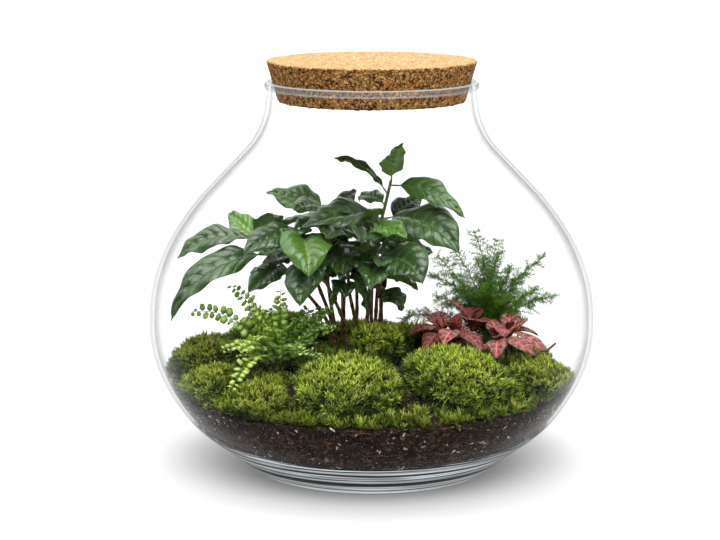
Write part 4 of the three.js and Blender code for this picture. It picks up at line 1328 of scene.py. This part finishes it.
# %% Coffee seedlings
COFFEE = [
    ([[-25, 13, 77], [-31, 13, 97], [-50, 6, 124], [-77, 0, 155]], [
        [1, [-132, 2, 142], 22, 60, 28, 0.12], [0.88, [-133, -30, 105], 26, 80, 28, 0.1],
        [1, [-57, -18, 170], 18, 60, 20, 0.15], [0.96, [-99, 28, 168], 20, 30, 30, 0.9],
        [0.8, [-81, -32, 124], 20, 45, 30, 0.05], [0.72, [-84, 20, 128], 13, 40, 20, 0.6],
    ]),
    ([[-24, 19, 77], [-28, 18, 97], [-38, 8, 127], [-46, -6, 162]], [
        [1, [-84, -38, 150], 24, 45, 35, 0.05], [0.97, [-42, -54, 139], 35, 70, 0, 0.5],
        [0.8, [-62, 24, 150], 22, 50, 10, 0.55],
    ]),
    ([[-24, 26, 77], [-26, 24, 94], [-30, 16, 126], [-29, 10, 171]], [
        [1, [-72, 20, 185], 24, 26, 28, 0.45], [0.97, [-53, -18, 178], 23, 60, 25, 0.05],
        [1, [-9, 34, 183], 13, 25, -30, 0.1], [0.9, [-48, -26, 166], 16, 50, 20, 0.05],
    ]),
    ([[-16, 6, 77], [-19, 5, 97], [-28, -2, 120], [-40, -10, 146]], [
        [1, [-46, -50, 119], 33, 70, -10, 0.0], [0.95, [-66, 16, 128], 20, 60, 20, 0.5],
    ]),
    ([[-18, 15, 77], [-19, 14, 95], [-19, 10, 127], [-23, 0, 156]], [
        [1, [-28, -42, 150], 24, 60, 10, 0.1], [0.96, [-22, 38, 168], 18, 60, 0, 0.2],
        [0.86, [-33, -36, 134], 22, 60, 15, 0.05],
    ]),
    ([[-10, 4, 77], [-11, 4, 97], [-15, -4, 120], [-16, -14, 142]], [
        [0.94, [-3, -18, 108], 23, 30, 0, 0.1], [0.88, [-28, 2, 110], 15, 30, 0, 0.1],
    ]),
    ([[-12, 31, 77], [-10, 32, 94], [-10, 38, 116], [-8, 44, 149]], [
        [1, [-34, 84, 141], 26, 60, 0, 0.2], [0.96, [22, 84, 147], 26, 60, 0, 0.35],
        [0.8, [8, 86, 118], 22, 50, 0, 0.1],
    ]),
    ([[-20, 33, 77], [-20, 36, 94], [-20, 44, 116], [-23, 52, 157]], [
        [1, [-66, 72, 150], 26, 60, 0, 0.15], [0.96, [-24, 96, 146], 24, 60, 0, 0.3],
        [0.8, [-58, 66, 120], 22, 50, 0, 0.1],
    ]),
    ([[-4, 12, 77], [-3, 13, 97], [2, 6, 144], [13, 0, 195]], [
        [1, [21, -12, 222], 25, 45, -15, 0.45], [0.98, [63, -12, 172], 22, 50, -32, 0.35],
        [0.94, [-26, 12, 209], 12, 55, 10, 0.15], [0.85, [-47, -32, 168], 28, 30, 24, 0.0],
        [0.83, [59, -26, 150], 34, 65, -26, 0.1], [0.89, [-9, 26, 180], 16, 50, 30, 0.5],
    ]),
    ([[2, 4, 77], [0, 4, 97], [0, -6, 130], [-3, -16, 165]], [
        [1, [21, -46, 152], 18, 60, -15, 0.7], [0.97, [4, -32, 181], 18, 50, 0, 0.35],
        [0.9, [-18, -50, 162], 22, 60, 10, 0.0],
    ]),
    ([[2, 20, 77], [3, 19, 97], [5, 12, 126], [14, 4, 166]], [
        [1, [34, 20, 182], 18, 40, -35, 0.1], [0.86, [57, 6, 159], 24, 40, 25, 0.1],
        [0.8, [43, 24, 141], 17, 50, -30, 0.1],
    ]),
    ([[8, 10, 77], [7, 9, 97], [6, -2, 118], [5, -16, 146]], [
        [1, [34, -44, 133], 33, 70, -22, 0.05], [0.72, [20, -18, 109], 22, 40, 0, 0.1],
        [0.82, [32, 10, 118], 13, 40, 0, 0.6], [0.9, [-2, -52, 130], 22, 60, 0, 0.1],
    ]),
    ([[5, 30, 77], [6, 32, 94], [9, 38, 116], [15, 48, 144]], [
        [1, [60, 62, 138], 26, 60, 0, 0.2], [0.96, [30, 88, 130], 24, 60, 0, 0.1],
        [0.92, [40, 34, 166], 22, 60, -20, 0.15],
    ]),
]
LONE_SHOOT = 0
TALL_SHOOT = 8
ROOT_DEPTH = 12  # how far a stem or rib goes down into the soil
COFFEE_STEM = 1.3
STEM_GREEN = 0.25  # how green a stem is at its end
TALL_STEM_GREEN = 0.9
LEAF_DROP = 0.8  # how far under the stem's end its last leaves start
# Places along the midrib of a solid's leaf where it has points, on large and on small leaves.
COFFEE_PLACES = [0.3, 0.48, 0.66, 0.84, 1]
SMALL_PLACES = [0.36, 0.6, 0.84, 1]
SMALL_WIDTH = 23  # leaves narrower than this are small


def add_stem(pile, index, stem):
    root = [stem[0][0], stem[0][1], soil_at(stem[0][0], stem[0][1]) - ROOT_DEPTH]
    places = np.linspace(0, 1, 34)
    knots = 0.22 * np.exp(-((np.sin(places * 22 + index) / 0.25) ** 2))
    radius = COFFEE_STEM * (1.2 - 0.4 * places + knots)
    points, faces = tube(smooth_path([root, *stem])(places), radius, 9)
    points = points + unit(np.random.default_rng(index).normal(size=points.shape)) * 0.05
    height = np.append(np.repeat(places, 9), [0, 1])
    green = TALL_STEM_GREEN if index == TALL_SHOOT else STEM_GREEN
    pile.add(points, faces, 1, young=np.clip((height - 0.62) / 0.3, 0, 1) * green)


def make_seedling(index, finishes, draw):
    stem, leaves = COFFEE[index]
    surface = surface_of(f"coffee_seedling_{index + 1:02d}")
    pile = Pile()
    add_stem(pile, index, stem)
    stem_line = smooth_path(stem)
    for place, tip, width, turn, roll, young in leaves:
        start = stem_line(place)[0] - UP * (LEAF_DROP if place == 1 else 0)
        stations = SMALL_PLACES if width < SMALL_WIDTH else COFFEE_PLACES
        line, length = packed_arch(surface, start, tip, turn, roll, stations)
        add_leaf(pile, line, length, width, COFFEE_FORM, draw, young=young)
    name = f"coffee_plant_{index + 1:02d}"
    pile.pour(name, finishes, [f"coffee_seedling_{index + 1:02d}"])


def make_coffee():
    draw = np.random.default_rng(40)
    finishes = [coffee_leaf_finish(), bark_finish()]
    for index in range(len(COFFEE)):
        make_seedling(index, finishes, draw)
    print_misses("coffee seedlings")
    return finishes


COFFEE_FINISHES = make_coffee()

# %% [markdown]
# Between the large leaves the heart of the plant is dark and full. Small leaves close it. On a real stem
# they stand in pairs. Here each turns by the golden angle from the last, which fills the space evenly, and
# all are short enough to stay inside the crown.

# %% Inner coffee leaves
INNER_LEAVES = 5


def make_inner_leaves():
    draw = np.random.default_rng(44)
    pile = Pile()
    for index, (stem, _) in enumerate(COFFEE):
        if index in (LONE_SHOOT, TALL_SHOOT):
            continue
        stem_line = smooth_path(stem)
        for k in range(INNER_LEAVES):
            start = stem_line(0.74 + 0.06 * k)[0]
            tip = aside(start, (3 * index + k) * GOLDEN_TURN, draw.uniform(20, 34), -draw.uniform(-14, 8))
            line, length = arch(start, tip, draw.uniform(45, 85), draw.uniform(-25, 25))
            add_leaf(pile, line, length, draw.uniform(17, 25), INNER_FORM, draw, young=draw.random() * 0.25)
    pile.pour("coffee_inner_leaves", COFFEE_FINISHES)


make_inner_leaves()

# %% [markdown]
# A button fern's frond is a thin brown-green rib with round leaflets in two rows. On the solid the
# leaflets are cut from one blade. Here each is its own small lens: an outline of ten points with a raised
# middle above and below, which is closed, light, and catches the light as a real leaflet does. Small
# young fronds fill the heart of the plant, as in the photo.

# %% Fern shapes
FERN_CROWN = [-62, -24]
FERN_HEART = 7  # radius of the crown
FERN_PAIRS = 9  # pairs of leaflets on a solid
FERN_BARE = 0.14  # the share of a frond's length that has no leaflets
FULL_REACH = 45  # a frond whose tip is this far from the crown, or further, starts at the crown's edge
FOOT_RISE = 1
# A frond's tip, the degrees that it arches over and rolls, how yellow it is, the length of its leaflets
# and the distance between them.
FERN = [
    [[-121, -14, 108], 90, 60, 0.6, 6.2, 4.8], [[-96, 8, 122], 60, 50, 0.95, 5.4, 4.3],
    [[-84, -30, 124], 50, 40, 0.9, 5.2, 4.0], [[-60, -40, 129], 20, 0, 0.6, 5.8, 4.0],
    [[-21, -42, 97], 70, -35, 0.15, 5.6, 3.4], [[-26, -14, 111], 60, -40, 0.25, 5.6, 3.4],
    [[-98, -52, 90], 90, 30, 0.75, 5.8, 3.8], [[-92, -72, 88], 80, 20, 0.8, 5.8, 3.8],
    [[-80, -98, 84], 90, 0, 0.9, 6.2, 4.2], [[-44, -72, 92], 80, -10, 0.45, 5.8, 3.6],
    [[-42, 10, 104], 70, 0, 0.5, 5.4, 3.8],
]


def crown_foot(crown, heart, tip):
    reach = np.array(tip[:2], float) - crown
    distance = np.linalg.norm(reach)
    x, y = crown + reach / distance * heart * min(1, distance / FULL_REACH)
    return np.array([x, y, soil_at(x, y) + FOOT_RISE])


def lens(sides=10, wide=0.42):
    """A leaflet from its foot at the origin to its tip at x 1: outline, upper middle, lower middle."""
    turn = np.arange(sides) * (2 * math.pi / sides)
    x = 0.5 - 0.5 * np.cos(turn)
    y = wide * np.sign(np.sin(turn)) * np.abs(np.sin(turn)) ** 0.8 * (1 + 0.12 * np.cos(5 * turn))
    rim = np.stack([x, y, -0.05 + 0 * x], 1)
    points = np.concatenate([rim, [[0.55, 0, 0.03], [0.55, 0, -0.09]]])
    ring = np.arange(sides)
    ahead = np.roll(ring, -1)
    above = np.stack([np.full(sides, sides), ahead, ring], 1)
    below = np.stack([np.full(sides, sides + 1), ring, ahead], 1)
    return points, np.concatenate([above, below])


LEAFLET, LEAFLET_FACES = lens()


def add_rib(pile, line, steps, thick, thin):
    """A rib along an arch, from its root in the soil. It gives back the points that it follows."""
    rib = line(np.linspace(0, 1, steps))[0]
    rib = np.concatenate([rib[:1] - UP * ROOT_DEPTH, rib])
    points, faces = tube(rib, np.linspace(thick, thin, len(rib)), 5)
    pile.add(points, faces, 1)
    return rib


def add_frond(pile, line, length, leaflet, apart, yellow, draw):
    """A rib and its leaflets, alternately left and right, smaller at both ends."""
    add_rib(pile, line, 16, 0.5, 0.2)
    pairs = max(4, round(length * (1 - FERN_BARE) / apart))
    for side in (-1, 1):
        share = (np.arange(pairs) + (0.35 if side > 0 else 0.8)) / pairs
        at, along, across, upper = line(np.minimum(FERN_BARE + share * (1 - FERN_BARE), 1))
        size = leaflet * np.minimum(1, 0.6 + 1.6 * share) * (1 - 0.5 * share**4)
        size = size * draw.uniform(0.8, 1.12, pairs)
        forward = draw.uniform(0.0, 0.5, pairs)[:, None]
        droop = draw.normal(0.05, 0.35, pairs)[:, None]
        x = unit(across * side + along * forward - upper * droop)
        z = unit(upper + along * draw.normal(0, 0.4, pairs)[:, None])
        y = unit(np.cross(z, x))
        axes = np.stack([x, y, np.cross(x, y)], 1)
        scales = np.stack([size, size * draw.uniform(0.88, 1.08, pairs), size], 1)
        points, faces = copies(LEAFLET, LEAFLET_FACES, at + across * (side * 0.3), axes, scales)
        tint = np.repeat(draw.random(pairs), len(LEAFLET))
        points = keep_inside(points, 0.5)
        pile.add(points, faces, 0, yellow=yellow, tint=tint, u=np.tile(LEAFLET[:, 0], pairs))


def fern_finish():
    finish = Finish("fern_leaflet")
    yellow, tint, u = finish.value("yellow"), finish.value("tint"), finish.value("u")
    cool = finish.mix(tint, "92c858", "c8ee94")
    warm = finish.mix(tint, "b6d64c", "e2f686")
    colour = finish.mix(yellow, cool, warm)
    colour = finish.mix((1 - u.ramp(0.0, 0.5)) * 0.25, colour, "46752c")
    colour = finish.mix(finish.noise(900.0).ramp(0.5, 0.8) * 0.3, colour, "d6eb9a")
    return finish.leafy(0.3, "bcdc58", Base_Color=colour, Roughness=0.5, Specular_IOR_Level=0.25)


def rib_finish(name, low, high):
    finish = Finish(name)
    colour = finish.mix(finish.noise(300.0), low, high)
    return finish.solid(Base_Color=colour, Roughness=0.6, Specular_IOR_Level=0.25)


print("faces on a leaflet:", len(LEAFLET_FACES))

# %% [markdown]
# Each large frond replaces its solid, so it lies on the solid's arch. The young ones in the heart have no
# solid of their own. They are drawn at random, turned by the golden angle from one to the next, and are
# yellower at the left, as the large ones are.

# %% Fern fronds
YOUNG_FRONDS = 54
YOUNG_APART = 3.1


def make_large_fronds(finishes, draw):
    step = (1 - FERN_BARE) / FERN_PAIRS
    places = [FERN_BARE + step * k for k in range(1, FERN_PAIRS + 1)]
    for i, (tip, turn, roll, yellow, leaflet, apart) in enumerate(FERN):
        node = f"fern_frond_{i + 1:02d}"
        foot = crown_foot(FERN_CROWN, FERN_HEART, tip)
        line, length = packed_arch(surface_of(node), foot, tip, turn, roll, places)
        pile = Pile()
        add_frond(pile, line, length, leaflet, apart, yellow, draw)
        pile.pour(f"fern_{i + 1:02d}", finishes, [node])


def make_young_fronds(finishes, draw):
    pile = Pile()
    for k in range(YOUNG_FRONDS):
        heading = k * GOLDEN_TURN + draw.uniform(-0.3, 0.3)
        tip = aside([*FERN_CROWN, 0], heading, draw.uniform(14, 46), 0)
        tip[2] = soil_at(tip[0], tip[1]) + draw.uniform(12, 40)
        foot = crown_foot(FERN_CROWN, FERN_HEART, tip)
        line, length = arch(foot, tip, draw.uniform(60, 100), draw.uniform(-25, 25))
        yellow = np.clip(0.62 - 0.4 * math.cos(heading) + draw.uniform(-0.15, 0.15), 0, 1)
        add_frond(pile, line, length, draw.uniform(4.0, 5.2), YOUNG_APART, yellow, draw)
    pile.pour("fern_heart", finishes)


def make_fern():
    draw = np.random.default_rng(50)
    finishes = [fern_finish(), rib_finish("fern_rib", "4a5a24", "7d8a3c")]
    make_large_fronds(finishes, draw)
    make_young_fronds(finishes, draw)
    print_misses("fern fronds")


make_fern()

# %% [markdown]
# Asparagus fern looks like green smoke: sprays of side branches, each set all round with needles of 3 to
# 6 mm. The solid shows the sprays and their side branches. Here every side branch is a fine stalk with
# whorls of three-sided needles, which keep their thickness from any side. A few more sprays, without a
# solid of their own, fill the middle of the plume.

# %% Asparagus sprays
SPRAY_CROWN = [80, 30]
SPRAY_HEART = 5
SPRAY_PAIRS = 10  # pairs of side branches on a solid
SPRAY_BARE = 0.18
SPRAY_BRANCH = 21  # length of the longest side branch
# A spray's tip, and the degrees that it arches over.
SPRAYS = [
    [[70, 22, 157], 45], [[110, 32, 142], 60], [[112, -8, 122], 60], [[122, 44, 112], 90],
    [[62, 66, 142], 60], [[48, 28, 130], 85], [[28, 52, 104], 90],
]
FILL_SPRAYS = [
    [[88, 18, 143], 40], [[96, 8, 134], 50], [[80, -4, 126], 45], [[62, 8, 122], 60],
    [[58, 40, 140], 50], [[88, 44, 148], 40], [[76, 10, 140], 30], [[104, 20, 128], 60],
    [[44, 20, 112], 70], [[98, -2, 116], 60],
]
FINE_PAIRS = 20
WHORL_APART = 1.6
NEEDLES = 7  # in a whorl
NEEDLE_HALF = 0.15
RIB_NEEDLE = 4.0
BRANCH_NEEDLE = 5.6
BRANCH_SAG = 0.14
SPIKE = np.array([[1, 0, 0], [-0.5, 0.87, 0], [-0.5, -0.87, 0], [0, 0, 1]])
SPIKE_FACES = np.array([[0, 1, 3], [1, 2, 3], [2, 0, 3]])


def add_needles(pile, path, draw, length):
    """Whorls of needles along a path, shorter towards its end."""
    gaps = np.linalg.norm(np.diff(path, axis=0), axis=1)
    distance = np.concatenate([[0], np.cumsum(gaps)])
    marks = np.arange(0.8, distance[-1], WHORL_APART)
    if not len(marks):
        return
    at = np.stack([np.interp(marks, distance, path[:, k]) for k in range(3)], 1)
    ahead = np.stack([np.interp(marks + 0.5, distance, path[:, k]) for k in range(3)], 1)
    forward = unit(ahead - at + unit(path[-1:] - path[-2:-1]) * 1e-3)
    at, forward = np.repeat(at, NEEDLES, 0), np.repeat(forward, NEEDLES, 0)
    count = len(at)
    around = axes_about(forward, draw.uniform(0, 6.3, count))
    heading = unit(forward * draw.uniform(0.35, 1.1, count)[:, None] + around[:, 0])
    size = length * draw.uniform(0.7, 1.15, count) * (1 - 0.45 * np.repeat(marks / distance[-1], NEEDLES))
    frames = axes_about(heading, draw.uniform(0, 6.3, count))
    thin = np.full(count, NEEDLE_HALF)
    points, faces = copies(SPIKE, SPIKE_FACES, at, frames, np.stack([thin, thin, size], 1))
    tip = np.tile([0.2, 0.2, 0.2, 1.0], count)
    pile.add(keep_inside(points, 0.5), faces, 0, tip=tip, tint=np.repeat(draw.random(count), 4))


def add_side_branch(pile, line, share, side, draw):
    """A stalk with needles that leaves the rib at a share of its length, sags, and shortens to the tip."""
    at, along, across, upper = [a[0] for a in line([SPRAY_BARE + share * (1 - SPRAY_BARE)])]
    reach = SPRAY_BRANCH * min(1, 0.55 + 1.4 * share) * (1 - 0.7 * share) * draw.uniform(0.7, 1.05)
    tilt = draw.uniform(-0.9, 1.1)
    out = across * side * math.cos(tilt) + upper * math.sin(tilt)
    heading = unit(out + along * draw.uniform(0.35, 0.9))
    steps = np.linspace(0, 1, 6)[:, None]
    path = keep_inside(at + heading * reach * steps - UP * reach * BRANCH_SAG * steps**2, 1.0)
    points, faces = tube(path, np.linspace(0.2, 0.1, 6), 3)
    pile.add(points, faces, 1)
    add_needles(pile, path, draw, BRANCH_NEEDLE)


def add_spray(pile, line, draw):
    rib = add_rib(pile, line, 20, 0.55, 0.18)
    add_needles(pile, rib[6:], draw, RIB_NEEDLE)
    for i in range(FINE_PAIRS):
        for side in (-1, 1):
            add_side_branch(pile, line, (i + 0.5) / FINE_PAIRS, side, draw)


def needle_finish():
    finish = Finish("asparagus_green")
    colour = finish.mix(finish.value("tint"), "2f6012", "689a2c")
    colour = finish.mix(finish.value("tip").ramp(0.5, 1.0) * 0.5, colour, "a4c858")
    return finish.leafy(0.2, "84b43a", Base_Color=colour, Roughness=0.55, Specular_IOR_Level=0.2)


def make_asparagus():
    draw = np.random.default_rng(60)
    finishes = [needle_finish(), rib_finish("asparagus_stalk", "4f7a30", "7fa04a")]
    step = (1 - SPRAY_BARE) / SPRAY_PAIRS
    places = [SPRAY_BARE + step * k for k in range(1, SPRAY_PAIRS)]
    for i, (tip, turn) in enumerate(SPRAYS):
        node = f"asparagus_spray_{i + 1:02d}"
        foot = crown_foot(SPRAY_CROWN, SPRAY_HEART, tip)
        line, _ = packed_arch(surface_of(node), foot, tip, turn, 0, places)
        pile = Pile()
        add_spray(pile, line, draw)
        pile.pour(f"asparagus_{i + 1:02d}", finishes, [node], smooth=False)
    pile = Pile()
    for tip, turn in FILL_SPRAYS:
        line, _ = arch(crown_foot(SPRAY_CROWN, SPRAY_HEART, tip), tip, turn, draw.uniform(-40, 40))
        add_spray(pile, line, draw)
    pile.pour("asparagus_fill", finishes, smooth=False)
    print_misses("asparagus sprays")


make_asparagus()

# %% [markdown]
# A nerve plant's leaf is dark olive under a net of pink-red veins that nearly covers it. The net has three
# levels: a midrib, side veins that curve to the margin, and a fine mesh between them. The first two come
# from where a point lies on the leaf. The mesh is the edges of cells, laid out in the leaf's own
# millimetres, so that it has the same size on every leaf.

# %% Nerve finish
NET_CELLS = 0.42  # to a millimetre


def nerve_finish():
    finish = Finish("nerve_blade")
    u, v, under = finish.value("u"), finish.value("v"), finish.value("under")
    tint = finish.value("tint")
    out = abs(v)
    own_place = {0: u * finish.value("length"), 1: v * finish.value("half"), 2: tint * 90}
    flat = finish.node("ShaderNodeCombineXYZ", {}, own_place)
    mesh = 1 - finish.cells(NET_CELLS, "DISTANCE_TO_EDGE", place=flat).ramp(0.04, 0.13)
    midrib = 1 - out.ramp(0.04, 0.12)
    side_vein = 1 - (u * NERVE_FORM["veins"] - out**1.3).zigzag().ramp(0.04, 0.13)
    net = (mesh * 0.6 + midrib + side_vein * 0.85).clamp() * (1 - out.ramp(0.82, 1.0) * 0.85)
    olive = finish.mix(tint, "22220e", "3a331a")
    pink = finish.mix(tint, "a83e44", "d87874")
    below = finish.mix(net * 0.6, "6b4a38", "a8575c")
    colour = finish.mix(under, finish.mix(net, olive, pink), below)
    relief = finish.bump(1 - net, 0.3, 0.6)
    return finish.leafy(
        0.1, "b0505a", Base_Color=colour, Roughness=0.45, Normal=relief, Specular_IOR_Level=0.3,
    )


# %% [markdown]
# Each shoot repeats its solid's numbers: its foot, its top, and for each large leaf the tip, the width and
# how far it arches. A spiral of small leaves, which the solids don't have, fills the shoot.

# %% Nerve plants
NERVE = [
    ([51, -7], [48, -8, 95], [
        [[26, -16, 93], 14, 60], [[34, 4, 103], 13, 50], [[35, -34, 84], 15, 60], [[46, 14, 103], 14, 50],
    ]),
    ([56, -13], [56, -18, 96], [[[48, -44, 84], 15, 60], [[68, -44, 83], 17, 60], [[60, -14, 108], 12, 50]]),
    ([61, -4], [67, -2, 99], [[[52, 4, 112], 12, 60], [[82, -10, 99], 14, 60], [[74, 18, 105], 14, 50]]),
    ([84, -24], [85, -27, 93], [[[78, -50, 84], 15, 60], [[103, -50, 81], 17, 60], [[80, -10, 100], 14, 50]]),
    ([90, -17], [92, -14, 95], [
        [[113, -36, 82], 13, 60], [[114, -10, 90], 15, 60], [[106, 2, 100], 15, 50], [[92, 10, 102], 13, 50],
    ]),
]
NERVE_STEM = 0.95
NERVE_WHORL = 1.2  # how much lower each next large leaf starts
NERVE_PLACES = [0.42, 0.72, 1]
SMALL_NERVE_LEAVES = 7


def add_small_nerve_leaves(pile, top, i, draw):
    """Small leaves in a spiral round the shoot: the lower ones hang, and the youngest stand up."""
    for k in range(SMALL_NERVE_LEAVES):
        young = k / (SMALL_NERVE_LEAVES - 1)
        heading = (k + i) * GOLDEN_TURN + draw.uniform(-0.3, 0.3)
        reach = 17 - 9 * young + draw.uniform(-1, 1)
        start = np.array(top) - UP * (9 * (1 - young) + 0.3)
        tip = aside(start, heading, reach, -3 + 11 * young + draw.uniform(-1.5, 1.5))
        line, length = arch(start, tip, 65, draw.uniform(-25, 25))
        add_leaf(pile, line, length, 12.5 - 5.5 * young, NERVE_FORM, draw)


def make_nerve():
    draw = np.random.default_rng(70)
    finishes = [nerve_finish(), rib_finish("nerve_stem", "6b5a33", "8f8a4c")]
    for i, (foot, top, leaves) in enumerate(NERVE):
        node = f"nerve_shoot_{i + 1:02d}"
        surface = surface_of(node)
        ground = [*foot, soil_at(*foot) + FOOT_RISE]
        root = [*foot, soil_at(*foot) - ROOT_DEPTH]
        pile = Pile()
        points, faces = tube(smooth_path([root, ground, top])(np.linspace(0, 1, 12)), NERVE_STEM, 8)
        pile.add(points, faces, 1)
        for k, (tip, width, turn) in enumerate(leaves):
            start = np.array(top) - UP * (LEAF_DROP + NERVE_WHORL * k)
            line, length = packed_arch(surface, start, tip, turn, 0, NERVE_PLACES)
            add_leaf(pile, line, length, width, NERVE_FORM, draw)
        add_small_nerve_leaves(pile, top, i, draw)
        pile.pour(f"nerve_plant_{i + 1:02d}", finishes, [node])
    print_misses("nerve plants")


make_nerve()

# %% [markdown]
# One bare twig stands out of the moss at the right. It is small, but the photo shows it clearly against
# the white, and such litter is what makes a planted bowl look real. It is a tube whose points are pushed
# about a little, which makes it knotty.

# %% Twig
TWIG = [[106, -46, 84], [111, -46, 88.5], [115, -47, 89], [121, -47, 94]]
TWIG_STEPS = 14


def make_twig():
    draw = np.random.default_rng(80)
    path = smooth_path(TWIG)(np.linspace(0, 1, TWIG_STEPS))
    points, faces = tube(path, np.linspace(1.4, 0.7, TWIG_STEPS), 7)
    pile = Pile()
    pile.add(keep_inside(points + draw.normal(0, 0.12, points.shape)), faces)
    pile.pour("twig", [rib_finish("twig_bark", "36281c", "84664a")])


make_twig()

# %% [markdown]
# Last, the sizes.

# %% Finish
print("triangles in all:", sum(TRIANGLES.values()), "largest:", max(TRIANGLES, key=TRIANGLES.get))
